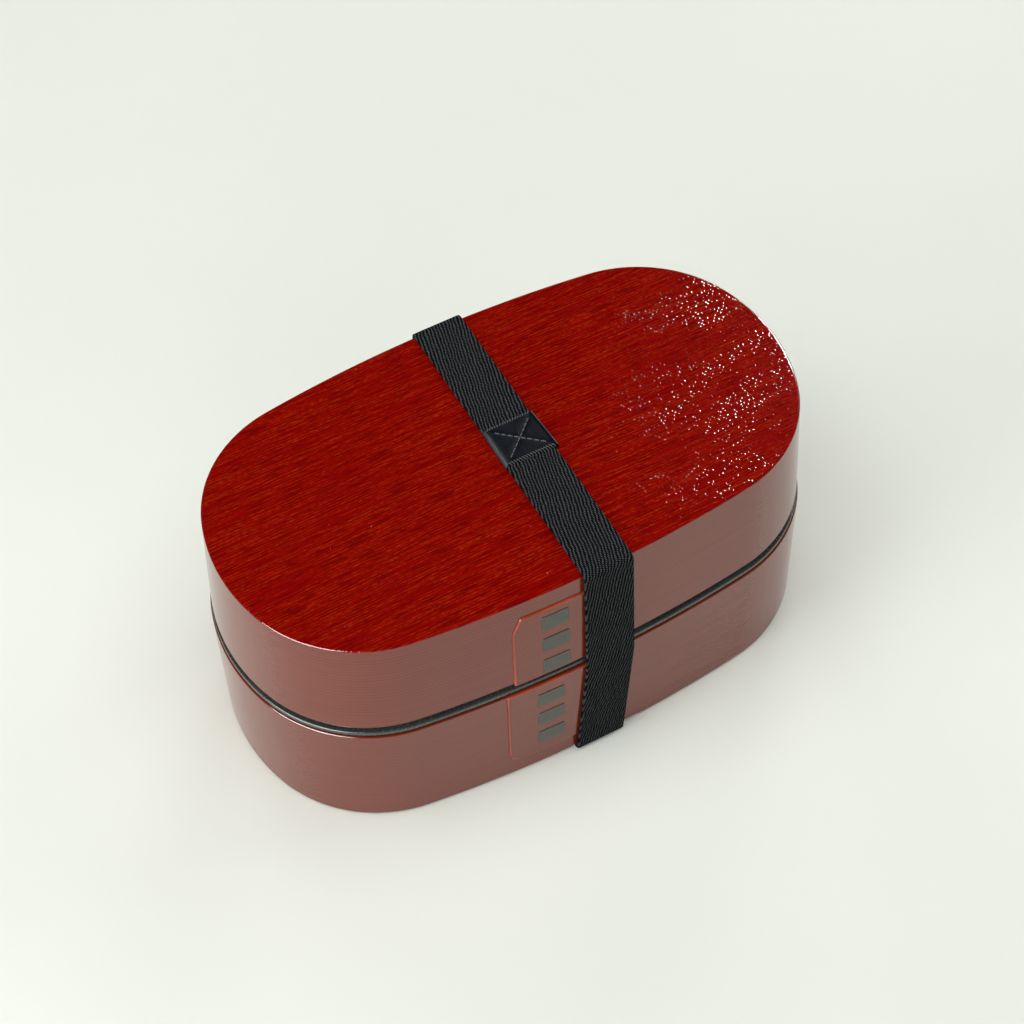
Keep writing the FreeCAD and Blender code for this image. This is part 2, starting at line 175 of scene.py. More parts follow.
class Oval:
    """The plan oval: side, corner and end arcs that touch each other, in each quarter."""

    def __init__(self, sizes):
        self.side_r = sizes.side_radius
        self.corner_r = sizes.corner_radius
        self.end_r = sizes.end_radius
        self.half_width = sizes.half_width
        self.steps = sizes.corner_steps
        self.side_c = Vector((0, sizes.half_width - sizes.side_radius))
        self.end_c = Vector((sizes.half_length - sizes.end_radius, 0))
        self.corner_c = self.touching_centre()
        self.stations = self.walk(sizes.arc_step)

    def touching_centre(self):
        """Centre of the corner arc that touches both the side arc and the end arc."""
        to_side = self.side_r - self.corner_r
        to_end = self.end_r - self.corner_r
        line = self.end_c - self.side_c
        along = (line.length_squared + to_side**2 - to_end**2) / (2 * line.length)
        away = math.sqrt(to_side**2 - along**2)
        unit = line.normalized()
        return self.side_c + unit * along + Vector((unit.y, -unit.x)) * away

    def walk(self, step):
        """Stations round the oval from the middle of the back: (centre, radius, turn)."""
        side_turn = math.atan2(self.corner_c.x, self.corner_c.y - self.side_c.y)
        end_turn = math.atan2(self.corner_c.x - self.end_c.x, self.corner_c.y)
        half = math.pi / 2
        near = Vector((1, -1))
        quarter = [
            (self.side_c, self.side_r, 0, side_turn),
            (self.corner_c, self.corner_r, side_turn, end_turn),
            (self.end_c, self.end_r, end_turn, half),
        ]
        arcs = list(quarter)
        arcs += [(c * near, r, math.pi - b, math.pi - a) for c, r, a, b in reversed(quarter)]
        arcs += [(-c, r, math.pi + a, math.pi + b) for c, r, a, b in quarter]
        arcs += [(c * -near, r, 2 * math.pi - b, 2 * math.pi - a) for c, r, a, b in reversed(quarter)]
        stations = []
        for centre, radius, start, stop in arcs:
            count = max(1, round(radius * (stop - start) / step))
            stations += [(centre, radius, start + (stop - start) * i / count) for i in range(count)]
        return stations

    def point(self, station, offset):
        """Point and outward direction of a station on the oval grown by offset."""
        centre, radius, turn = station
        out = Vector((math.sin(turn), math.cos(turn)))
        return centre + out * (radius + offset), out

    def front(self, x, z, offset):
        """Point of the front wall, x along it from the middle, and the outward direction there."""
        turn = x / self.side_r
        out = Vector((math.sin(turn), -math.cos(turn), 0))
        centre = Vector((0, self.side_r - self.half_width, z))
        return centre + out * (self.side_r + offset), out


# ---------------------------------------------------------------- mesh helpers

def rounded_path(corners, steps, closed=False):
    """Corners (a, b, radius, part) as a smooth path of (spot, normal, part); normals point to its right."""
    path = []
    count = len(corners)
    spots = [Vector(corner[:2]) for corner in corners]
    for i, (_, _, radius, part) in enumerate(corners):
        here = spots[i]
        if not closed and i in (0, count - 1):
            way = (spots[1] - here if i == 0 else here - spots[-2]).normalized()
            path.append((here, Vector((way.y, -way.x)), part))
            continue
        back = (spots[i - 1] - here).normalized()
        ahead = (spots[(i + 1) % count] - here).normalized()
        half = back.angle(ahead) / 2
        side = 1 if back.x * ahead.y - back.y * ahead.x < 0 else -1
        first = Vector((-back.y, back.x))
        centre = here + back * (radius / math.tan(half)) - first * radius * side
        for k in range(steps + 1):
            normal = Matrix.Rotation(side * (math.pi - 2 * half) * k / steps, 2) @ first
            path.append((centre + normal * radius * side, normal, part))
    return path


def add_piece(name, mesh, materials, body, nodes=()):
    """Links a mesh as a piece that rides a body and stands for frame nodes."""
    piece = bpy.data.objects.new(name, mesh)
    bpy.context.scene.collection.objects.link(piece)
    for material in materials:
        mesh.materials.append(material)
    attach(piece, body)
    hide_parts(*nodes)
    return piece


def mesh_of(name, verts, faces, normals=None, parts=None, places=None):
    """Smooth mesh with given vertex normals, material numbers and, for each face corner, a place (u, v)."""
    mesh = bpy.data.meshes.new(name)
    mesh.from_pydata(verts, [], faces)
    mesh.polygons.foreach_set("use_smooth", [True] * len(faces))
    if parts:
        mesh.polygons.foreach_set("material_index", parts)
    if places:
        layer = mesh.uv_layers.new(name="Surface")
        layer.data.foreach_set("uv", [value for place in places for value in place])
    if normals:
        mesh.normals_split_custom_set_from_vertices(normals)
    mesh.update()
    return mesh


def swept(name, oval, corners, closed=False, shift=None):
    """Mesh of a profile of (offset, z, radius, part) corners swept round the oval.

    An open profile starts and ends on a level face, which is filled to the middle.
    """
    path = rounded_path(corners, oval.steps, closed)
    if not closed:
        path = level_fill(path[0])[::-1] + path + level_fill(path[-1])
    verts, normals = [], []
    for spot, normal, _ in path:
        for station in oval.stations:
            flat, out = oval.point(station, spot.x)
            place = Vector((flat.x, flat.y, spot.y))
            verts.append(shift(place) if shift else place)
            normals.append(Vector((out.x * normal.x, out.y * normal.x, normal.y)).normalized())
    count = len(oval.stations)
    faces, parts = [], []
    for i in range(len(path) if closed else len(path) - 1):
        low = i * count
        high = (i + 1) % len(path) * count
        for j in range(count):
            k = (j + 1) % count
            faces.append((low + k, low + j, high + j, high + k))
            parts.append(path[i][2])
    if not closed:
        faces.append(list(range(count)))
        parts.append(path[0][2])
        faces.append(list(range(len(verts) - 1, len(verts) - count - 1, -1)))
        parts.append(path[-1][2])
    return mesh_of(name, verts, faces, normals, parts)


def level_fill(end):
    """Rings that step inwards from the end of a profile, on its level."""
    spot, normal, part = end
    return [(Vector((offset * MM, spot.y)), normal, part) for offset in (-16, -25, -34)]


def inset_outline(points, inset):
    """A convex outline of (x, z) points moved inwards, each corner along its own bisector."""
    moved = []
    count = len(points)
    for i, here in enumerate(points):
        before = (here - points[i - 1]).normalized()
        after = (points[(i + 1) % count] - here).normalized()
        bisector = (Vector((before.y, -before.x)) + Vector((after.y, -after.x))).normalized()
        moved.append(here - bisector * (inset / bisector.dot(Vector((before.y, -before.x)))))
    return moved


def front_plate(name, oval, outlines, base, low, high, edge, rim=0):
    """Mesh of thin plates on the front wall, with rounded edges, that follow the wall's curve.

    outlines are (x, z, radius) corners of each plate, base gives the wall's offset at a height, low and
    high are the plate's faces over the wall, edge is the radius of its outer edge and rim is the
    material number of the upright and rounded faces.
    """
    plate = bmesh.new()
    steps = 4
    for corners in outlines:
        path = rounded_path([(x, z, radius, 0) for x, z, radius in corners], oval.steps, True)
        outline = [spot for spot, _, _ in path]
        levels = [(0.0, low)]
        for k in range(steps + 1):
            turn = math.pi / 2 * k / steps
            levels.append((edge * (1 - math.cos(turn)), high - edge * (1 - math.sin(turn))))
        rings = []
        for inset, lift in levels:
            rings.append([plate.verts.new((p.x, lift, p.y)) for p in inset_outline(outline, inset)])
        for lower, upper in zip(rings, rings[1:]):
            for j, vert in enumerate(lower):
                side = plate.faces.new((lower[j - 1], vert, upper[j], upper[j - 1]))
                side.material_index = rim
        plate.faces.new(rings[-1])
        plate.faces.new(rings[0][::-1])
    left = min(v.co.x for v in plate.verts)
    right = max(v.co.x for v in plate.verts)
    count = math.ceil((right - left) / (1.5 * MM))
    for k in range(1, count):
        whole = plate.verts[:] + plate.edges[:] + plate.faces[:]
        cut = Vector((left + (right - left) * k / count, 0, 0))
        bmesh.ops.bisect_plane(plate, geom=whole, plane_co=cut, plane_no=Vector((1, 0, 0)))
    for vert in plate.verts:
        vert.co = oval.front(vert.co.x, vert.co.z, base(vert.co.z) + vert.co.y)[0]
    bmesh.ops.recalc_face_normals(plate, faces=plate.faces[:])
    for face in plate.faces:
        face.smooth = True
    mesh = bpy.data.meshes.new(name)
    plate.to_mesh(mesh)
    plate.free()
    return mesh


def even_shading(piece):
    """Weighs a piece's shading by face size, so that its flats stay flat beside rounded edges."""
    weigh = piece.modifiers.new("Even shading", "WEIGHTED_NORMAL")
    weigh.weight = 50


def tube(path, radius, sides=8):
    """Vertices and faces of a round thread along points, closed at both ends."""
    verts, faces = [], []
    for i, here in enumerate(path):
        way = (path[min(i + 1, len(path) - 1)] - path[max(i - 1, 0)]).normalized()
        across = way.cross(Vector((0, 0, 1))).normalized()
        up = across.cross(way)
        for k in range(sides):
            turn = 2 * math.pi * k / sides
            verts.append(here + (across * math.cos(turn) + up * math.sin(turn)) * radius)
    for i in range(len(path) - 1):
        for k in range(sides):
            m = (k + 1) % sides
            faces.append((i * sides + k, i * sides + m, (i + 1) * sides + m, (i + 1) * sides + k))
    faces.append(list(range(sides))[::-1])
    faces.append(list(range(len(verts) - sides, len(verts))))
    return verts, faces


# ---------------------------------------------------------------- materials

def put(tree, kind, sockets=None, **settings):
    """Adds a node, sets it up, and links or sets its inputs."""
    node = tree.nodes.new(kind)
    for name, value in settings.items():
        setattr(node, name, value)
    for name, value in (sockets or {}).items():
        if isinstance(value, bpy.types.NodeSocket):
            tree.links.new(value, node.inputs[name])
        else:
            node.inputs[name].default_value = value
    return node


def math_of(tree, operation, first, second=0.0, third=0.0):
    """Output of a math node; each operand is a number or a socket."""
    return put(tree, "ShaderNodeMath", {0: first, 1: second, 2: third}, operation=operation).outputs[0]


def spread(tree, value, low, high, to_low=0.0, to_high=1.0):
    """Output of a smooth map from low..high to to_low..to_high."""
    sockets = {0: value, 1: low, 2: high, 3: to_low, 4: to_high}
    return put(tree, "ShaderNodeMapRange", sockets, interpolation_type="SMOOTHSTEP").outputs[0]


def blend_of(tree, factor, first, second):
    """Output of a colour mix from first to second."""
    mix = put(tree, "ShaderNodeMix", {0: factor}, data_type="RGBA")
    for socket, value in ((mix.inputs[6], first), (mix.inputs[7], second)):
        if isinstance(value, bpy.types.NodeSocket):
            tree.links.new(value, socket)
        else:
            socket.default_value = (*value, 1.0)
    return mix.outputs[2]


def scaled(tree, vector, scale):
    """Output of a vector stretched by the given scales."""
    node = put(tree, "ShaderNodeVectorMath", {0: vector, 1: scale}, operation="MULTIPLY")
    return node.outputs[0]


def new_group(name, inputs, outputs):
    """A shader node group with its sockets, its input node's outputs and its output node's inputs."""
    tree = bpy.data.node_groups.new(name, "ShaderNodeTree")
    for label, kind, default in inputs:
        socket = tree.interface.new_socket(label, in_out="INPUT", socket_type=kind)
        if default is not None:
            socket.default_value = default
    for label, kind in outputs:
        tree.interface.new_socket(label, in_out="OUTPUT", socket_type=kind)
    return tree, tree.nodes.new("NodeGroupInput").outputs, tree.nodes.new("NodeGroupOutput").inputs


def grain_group():
    """Wood-grain lines along the first axis of the vector, numbered in rows one pitch apart."""
    if "Wood Grain Lines" in bpy.data.node_groups:
        return bpy.data.node_groups["Wood Grain Lines"]
    tree, given, result = new_group(
        "Wood Grain Lines",
        [("Vector", "NodeSocketVector", None), ("Pitch", "NodeSocketFloat", 1.0 * MM)],
        [("Strand", "NodeSocketFloat"), ("Pore", "NodeSocketFloat"), ("Height", "NodeSocketFloat"),
         ("Row", "NodeSocketFloat")],
    )
    bend = put(tree, "ShaderNodeTexNoise", {"Vector": scaled(tree, given["Vector"], (0.4, 1.0, 1.0)),
                                            "Scale": 16.0, "Detail": 1.0})
    shake = put(tree, "ShaderNodeTexNoise", {"Vector": scaled(tree, given["Vector"], (0.5, 1.0, 1.0)),
                                             "Scale": 320.0, "Detail": 1.0})
    shaken = math_of(tree, "MULTIPLY", shake.outputs[0], 0.35 * MM)
    wide = math_of(tree, "MULTIPLY_ADD", bend.outputs[0], 5 * MM, shaken)
    split = put(tree, "ShaderNodeSeparateXYZ", {0: given["Vector"]})
    rate = math_of(tree, "DIVIDE", 1.0, given["Pitch"])
    along = math_of(tree, "MULTIPLY", split.outputs[0], rate)
    across = math_of(tree, "MULTIPLY", math_of(tree, "ADD", split.outputs[1], wide), rate)
    place = put(tree, "ShaderNodeCombineXYZ", {0: along, 1: across, 2: 0.0}).outputs[0]
    wave = math_of(tree, "SINE", math_of(tree, "MULTIPLY", across, 2 * math.pi))
    strand = put(tree, "ShaderNodeTexNoise", {"Vector": scaled(tree, place, (0.03, 0.8, 1.0)), "Scale": 1.0,
                                              "Detail": 2.0, "Roughness": 0.55}, noise_dimensions="2D")
    mixed = math_of(tree, "MULTIPLY_ADD", wave, 0.17, strand.outputs[0])
    pore = put(tree, "ShaderNodeTexNoise", {"Vector": scaled(tree, place, (0.10, 1.9, 1.0)), "Scale": 1.0,
                                            "Detail": 2.0, "Roughness": 0.6}, noise_dimensions="2D")
    tree.links.new(spread(tree, mixed, 0.36, 0.68), result["Strand"])
    tree.links.new(spread(tree, pore.outputs[0], 0.52, 0.38), result["Pore"])
    tree.links.new(math_of(tree, "MULTIPLY_ADD", wave, 0.3, strand.outputs[0]), result["Height"])
    tree.links.new(across, result["Row"])
    return tree


def pimple_group():
    """Round pimples that sit on numbered rows, each a shallow cap of its own size, in metres."""
    if "Row Pimples" in bpy.data.node_groups:
        return bpy.data.node_groups["Row Pimples"]
    tree, given, result = new_group(
        "Row Pimples",
        [("Vector", "NodeSocketVector", None), ("Row", "NodeSocketFloat", 0.0),
         ("Pitch", "NodeSocketFloat", 0.9 * MM), ("Spacing", "NodeSocketFloat", 1.5 * MM)],
        [("Height", "NodeSocketFloat"), ("Chance", "NodeSocketFloat")],
    )
    split = put(tree, "ShaderNodeSeparateXYZ", {0: given["Vector"]})
    row = math_of(tree, "FLOOR", given["Row"])
    along = math_of(tree, "DIVIDE", split.outputs[0], given["Spacing"])
    place = math_of(tree, "MULTIPLY_ADD", row, 17.37, along)
    cells = put(tree, "ShaderNodeTexVoronoi", {"W": place, "Scale": 1.0, "Randomness": 0.9},
                voronoi_dimensions="1D")
    parts = put(tree, "ShaderNodeSeparateColor", {0: cells.outputs["Color"]})
    chance = parts.outputs[0]
    aside = math_of(tree, "MULTIPLY_ADD", parts.outputs[1], 0.5, -0.25)
    over = math_of(tree, "SUBTRACT", math_of(tree, "FRACT", given["Row"]), 0.5)
    side = math_of(tree, "MULTIPLY", math_of(tree, "ADD", over, aside), given["Pitch"])
    ahead = math_of(tree, "MULTIPLY", cells.outputs["Distance"], given["Spacing"])
    gap = math_of(tree, "MULTIPLY_ADD", ahead, ahead, math_of(tree, "MULTIPLY", side, side))
    size = math_of(tree, "MULTIPLY_ADD", parts.outputs[2], 0.25 * MM, 0.25 * MM)
    share = math_of(tree, "DIVIDE", gap, math_of(tree, "MULTIPLY", size, size))
    cap = math_of(tree, "MAXIMUM", math_of(tree, "SUBTRACT", 1.0, share), 0.0)
    tree.links.new(math_of(tree, "MULTIPLY", cap, size), result["Height"])
    tree.links.new(chance, result["Chance"])
    return tree


def mottle_group():
    """Slow tone variation and fine scuffs, for every plain surface."""
    if "Surface Mottle" in bpy.data.node_groups:
        return bpy.data.node_groups["Surface Mottle"]
    tree, given, result = new_group(
        "Surface Mottle",
        [("Vector", "NodeSocketVector", None), ("Scale", "NodeSocketFloat", 40.0)],
        [("Tone", "NodeSocketFloat"), ("Scuff", "NodeSocketFloat")],
    )
    here, coarse = given["Vector"], given["Scale"]
    tone = put(tree, "ShaderNodeTexNoise", {"Vector": here, "Scale": coarse, "Detail": 4.0})
    fine = math_of(tree, "MULTIPLY", coarse, 22.0)
    scuff = put(tree, "ShaderNodeTexNoise", {"Vector": here, "Scale": fine, "Detail": 3.0})
    tree.links.new(spread(tree, tone.outputs[0], 0.3, 0.7), result["Tone"])
    tree.links.new(spread(tree, scuff.outputs[0], 0.35, 0.75), result["Scuff"])
    return tree


def pebble_group():
    """Round pimples of uneven size in loose rows."""
    if "Fine Pebble" in bpy.data.node_groups:
        return bpy.data.node_groups["Fine Pebble"]
    tree, given, result = new_group(
        "Fine Pebble",
        [("Vector", "NodeSocketVector", None), ("Pitch", "NodeSocketFloat", 1.0 * MM)],
        [("Height", "NodeSocketFloat"), ("Chance", "NodeSocketFloat")],
    )
    rate = math_of(tree, "DIVIDE", 1.0, given["Pitch"])
    place = put(tree, "ShaderNodeVectorMath", {0: given["Vector"], "Scale": rate}, operation="SCALE")
    cells = put(tree, "ShaderNodeTexVoronoi", {"Vector": place.outputs[0], "Scale": 1.0, "Randomness": 0.8},
                voronoi_dimensions="2D")
    chance = put(tree, "ShaderNodeSeparateColor", {0: cells.outputs["Color"]}).outputs[0]
    size = math_of(tree, "MULTIPLY_ADD", chance, 0.28, 0.12)
    dome = math_of(tree, "SUBTRACT", 1.0, math_of(tree, "DIVIDE", cells.outputs["Distance"], size))
    tree.links.new(spread(tree, dome, 0.0, 1.0), result["Height"])
    tree.links.new(chance, result["Chance"])
    return tree


def rib_group():
    """Woven elastic: leaning ribs broken into short threads; the vector is across and along, in metres."""
    if "Twill Ribs" in bpy.data.node_groups:
        return bpy.data.node_groups["Twill Ribs"]
    tree, given, result = new_group(
        "Twill Ribs",
        [("Vector", "NodeSocketVector", None), ("Pitch", "NodeSocketFloat", 0.95 * MM),
         ("Lean", "NodeSocketFloat", math.radians(14))],
        [("Rib", "NodeSocketFloat"), ("Thread", "NodeSocketFloat"), ("Height", "NodeSocketFloat")],
    )
    shake = put(tree, "ShaderNodeTexNoise", {"Vector": given["Vector"], "Scale": 420.0, "Detail": 2.0})
    shaken = math_of(tree, "MULTIPLY", math_of(tree, "SUBTRACT", shake.outputs[0], 0.5), 0.9 * MM)
    slow = put(tree, "ShaderNodeTexNoise", {"Vector": given["Vector"], "Scale": 45.0, "Detail": 1.0})
    wander = math_of(tree, "MULTIPLY", math_of(tree, "SUBTRACT", slow.outputs[0], 0.5), 3 * MM)
    split = put(tree, "ShaderNodeSeparateXYZ", {0: given["Vector"]})
    cos = math_of(tree, "COSINE", given["Lean"])
    sin = math_of(tree, "SINE", given["Lean"])
    leaning = math_of(tree, "MULTIPLY", split.outputs[1], sin)
    across = math_of(tree, "MULTIPLY_ADD", split.outputs[0], cos, leaning)
    across = math_of(tree, "ADD", math_of(tree, "ADD", across, shaken), wander)
    turns = math_of(tree, "DIVIDE", across, given["Pitch"])
    wave = math_of(tree, "SINE", math_of(tree, "MULTIPLY", turns, 2 * math.pi))
    rib = spread(tree, wave, -0.6, 0.9)
    row = math_of(tree, "FLOOR", turns)
    stagger = math_of(tree, "MULTIPLY", row, 0.37)
    knots = math_of(tree, "MULTIPLY_ADD", split.outputs[1], 1 / (0.55 * MM), stagger)
    knot_wave = math_of(tree, "SINE", math_of(tree, "MULTIPLY", knots, 2 * math.pi))
    fuzz = put(tree, "ShaderNodeTexNoise", {"Vector": given["Vector"], "Scale": 1900.0, "Detail": 2.0})
    fuzzed = math_of(tree, "MULTIPLY_ADD", fuzz.outputs[0], 2.6, math_of(tree, "SUBTRACT", knot_wave, 1.3))
    thread = spread(tree, fuzzed, -0.9, 0.9)
    tree.links.new(rib, result["Rib"])
    tree.links.new(thread, result["Thread"])
    height = math_of(tree, "MULTIPLY", rib, math_of(tree, "MULTIPLY_ADD", thread, 0.5, 0.5))
    tree.links.new(height, result["Height"])
    return tree


def new_material(name, **sockets):
    """A material, its tree, its Principled shader with fixed sockets set, and the object coordinates."""
    material = bpy.data.materials.new(name)
    material.use_nodes = True
    tree = material.node_tree
    shader = tree.nodes["Principled BSDF"]
    for label, value in sockets.items():
        socket = shader.inputs[label.replace("_", " ")]
        socket.default_value = (*value, 1.0) if socket.type == "RGBA" and len(value) == 3 else value
    coords = tree.nodes.new("ShaderNodeTexCoord")
    return material, tree, shader, coords


def made(name, build, *given):
    """The material of that name, built the first time it is asked for."""
    return bpy.data.materials.get(name) or build(name, *given)


def place_group(tree, group, sockets):
    """Outputs of a node group placed in a material with its own values."""
    return put(tree, "ShaderNodeGroup", sockets, node_tree=group).outputs


def bump(tree, shader, height, distance):
    """Joins a height to the shader's normal; distance is the height's real size in metres."""
    node = put(tree, "ShaderNodeBump", {"Height": height, "Distance": distance, "Strength": 1.0})
    tree.links.new(node.outputs[0], shader.inputs["Normal"])


def lacquer_top(name, looks):
    """Red lacquer over raised wood grain that runs along the box, with fine pimples in rows."""
    material, tree, shader, coords = new_material(name)
    here = coords.outputs["Object"]
    grain = place_group(tree, grain_group(), {"Vector": here, "Pitch": 0.9 * MM})
    pimple = place_group(tree, pimple_group(), {"Vector": here, "Row": grain["Row"]})
    drawn_out = scaled(tree, here, (0.45, 1.0, 1.0))
    mottle = place_group(tree, mottle_group(), {"Vector": drawn_out, "Scale": 70.0})
    uneven = math_of(tree, "MULTIPLY_ADD", mottle["Scuff"], 0.9, 0.1)
    speck = math_of(tree, "MULTIPLY", grain["Strand"], uneven)
    base = blend_of(tree, speck, looks.lacquer, looks.grain_light)
    dark = math_of(tree, "MULTIPLY", grain["Pore"], 0.85)
    tree.links.new(blend_of(tree, dark, base, looks.grain_dark), shader.inputs["Base Color"])
    tree.links.new(spread(tree, mottle["Scuff"], 0, 1, 0.06, 0.10), shader.inputs["Roughness"])
    cluster = spread(tree, mottle["Tone"], -0.5, 0.8)
    scattered = spread(tree, pimple["Chance"], 0.15, 0.7)
    share = math_of(tree, "MULTIPLY", cluster, scattered)
    pimples = math_of(tree, "MULTIPLY", pimple["Height"], share)
    lines = math_of(tree, "MULTIPLY", grain["Height"], 0.002 * MM)
    bump(tree, shader, math_of(tree, "MULTIPLY_ADD", pimples, 0.09, lines), 1.0)
    return material


def lacquer_wall(name, looks):
    """Red lacquer of the walls: satin gloss with faint level lines."""
    material, tree, shader, coords = new_material(name, IOR=1.6)
    here = coords.outputs["Object"]
    split = put(tree, "ShaderNodeSeparateXYZ", {0: here})
    level = put(tree, "ShaderNodeCombineXYZ", {0: split.outputs[0], 1: split.outputs[2], 2: split.outputs[1]})
    grain = place_group(tree, grain_group(), {"Vector": level.outputs[0], "Pitch": 1.6 * MM})
    mottle = place_group(tree, mottle_group(), {"Vector": here, "Scale": 60.0})
    drift = math_of(tree, "MULTIPLY_ADD", mottle["Tone"], 0.4 * MM, split.outputs[2])
    wave = math_of(tree, "SINE", math_of(tree, "MULTIPLY", drift, 2 * math.pi / (1.35 * MM)))
    line = math_of(tree, "MULTIPLY_ADD", wave, 0.5, 0.5)
    mixed = math_of(tree, "MULTIPLY_ADD", grain["Strand"], 0.3, math_of(tree, "MULTIPLY", line, 0.7))
    tree.links.new(blend_of(tree, mixed, looks.wall, looks.wall_light), shader.inputs["Base Color"])
    tree.links.new(spread(tree, mixed, 0, 1, 0.10, 0.16), shader.inputs["Roughness"])
    bump(tree, shader, mixed, 0.004 * MM)
    return material


def plain_plastic(name, tint, low, high, grit):
    """Moulded plastic or silicone with slight tone changes, uneven gloss and a fine grit."""
    material, tree, shader, coords = new_material(name)
    mottle = place_group(tree, mottle_group(), {"Vector": coords.outputs["Object"], "Scale": 70.0})
    darker = tuple(0.75 * value for value in tint)
    tree.links.new(blend_of(tree, mottle["Tone"], darker, tuple(tint)), shader.inputs["Base Color"])
    tree.links.new(spread(tree, mottle["Scuff"], 0, 1, low, high), shader.inputs["Roughness"])
    bump(tree, shader, mottle["Scuff"], grit)
    return material


def painted_edge_highlight(name, looks):
    """Painted highlight on the rounded edges of the overlap panels: a light orange colour that stands in for
    the light these edges catch.
    """
    material, tree, shader, coords = new_material(name, Roughness=0.3)
    mottle = place_group(tree, mottle_group(), {"Vector": coords.outputs["Object"], "Scale": 90.0})
    darker = tuple(0.6 * value for value in looks.edge)
    tint = blend_of(tree, mottle["Tone"], darker, tuple(looks.edge))
    tree.links.new(tint, shader.inputs["Base Color"])
    bump(tree, shader, mottle["Scuff"], 0.01 * MM)
    return material


def elastic(name, looks):
    """Black elastic with leaning ribs; the ribs' threads are coloured lighter as painted light and the
    grooves near black as painted shade.
    """
    material, tree, shader, coords = new_material(name, Roughness=1.0, Specular_IOR_Level=0.0)
    ribs = place_group(tree, rib_group(), {"Vector": coords.outputs["UV"]})
    # Painted light and shade: lit ribs and threads take the rib colour, the shaded grooves the near-black
    # groove colour.
    lit = math_of(tree, "MULTIPLY", ribs["Rib"], ribs["Thread"])
    tree.links.new(blend_of(tree, lit, looks.groove, looks.rib), shader.inputs["Base Color"])
    bump(tree, shader, ribs["Height"], 0.3 * MM)
    return material


def leather(name, tint):
    """Dark imitation leather: fine pebbled grain with soft creases."""
    material, tree, shader, coords = new_material(name, Specular_IOR_Level=0.06)
    here = coords.outputs["Object"]
    pebble = place_group(tree, pebble_group(), {"Vector": here, "Pitch": 0.6 * MM})
    mottle = place_group(tree, mottle_group(), {"Vector": here, "Scale": 160.0})
    lighter = tuple(2.0 * value for value in tint)
    tree.links.new(blend_of(tree, mottle["Tone"], tuple(tint), lighter), shader.inputs["Base Color"])
    tree.links.new(spread(tree, pebble["Chance"], 0, 1, 0.4, 0.6), shader.inputs["Roughness"])
    height = math_of(tree, "MULTIPLY_ADD", mottle["Tone"], 1.5, pebble["Height"])
    bump(tree, shader, height, 0.05 * MM)
    return material


def thread_cotton(name, looks):
    """Twisted thread."""
    material, tree, shader, coords = new_material(name, Roughness=0.7, Sheen_Weight=0.3)
    here = coords.outputs["Object"]
    twist = put(tree, "ShaderNodeTexNoise", {"Vector": here, "Scale": 3500.0, "Detail": 1.0}).outputs[0]
    darker = tuple(0.55 * value for value in looks.thread)
    tree.links.new(blend_of(tree, twist, darker, tuple(looks.thread)), shader.inputs["Base Color"])
    bump(tree, shader, twist, 0.04 * MM)
    return material


def bark(name, looks):
    """Grey-green bark strip with streaks along it."""
    material, tree, shader, coords = new_material(name, Coat_Weight=0.2, Coat_Roughness=0.2)
    stretched = scaled(tree, coords.outputs["Object"], (0.12, 1.0, 1.0))
    streak = put(tree, "ShaderNodeTexNoise", {"Vector": stretched, "Scale": 1500.0, "Detail": 3.0})
    tone = spread(tree, streak.outputs[0], 0.35, 0.65)
    darker = tuple(0.6 * value for value in looks.mark)
    tree.links.new(blend_of(tree, tone, darker, tuple(looks.mark)), shader.inputs["Base Color"])
    tree.links.new(spread(tree, streak.outputs[0], 0.3, 0.7, 0.32, 0.5), shader.inputs["Roughness"])
    bump(tree, shader, tone, 0.03 * MM)
    return material


def paper(name, look):
    """Pale matt floor."""
    material, tree, shader, coords = new_material(name, Roughness=0.9, Specular_IOR_Level=0.0)
    mottle = place_group(tree, mottle_group(), {"Vector": coords.outputs["Object"], "Scale": 9.0})
    darker = tuple(0.985 * value for value in look.floor)
    tint = blend_of(tree, mottle["Tone"], darker, tuple(look.floor))
    tree.links.new(tint, shader.inputs["Base Color"])
    return material


# ---------------------------------------------------------------- pieces

HUB = -14 * MM             # offset from the plan oval at which the inner profiles end
PLUG_WALL = 1.8 * MM       # thickness of the inner lids' plugs
GROOVE_DEPTH = 0.9 * MM    # how deep a seal sits in its plug
SEAL_PROUD = 0.85 * MM     # how far a seal stands out of its plug
PANEL_ROOT = -0.5 * MM     # back face of an overlap panel, inside the wall
PANEL_BREAK = 0.3 * MM     # small corner radius of an overlap panel
GRIT = 0.01 * MM           # height of the fine grit on plain plastic


def lid_offset(sizes):
    """Function from a height to the offset of the lid's outer wall."""
    run = LID_HIGH.z - LID_LOW.z
    return lambda z: sizes.lid_flare * (LID_HIGH.z - z) / run


def lower_offset(sizes):
    """Function from a height to the offset of the lower box's outer wall."""
    return lambda z: sizes.base_flare + (sizes.rim_flare - sizes.base_flare) * z / LOWER_HIGH.z


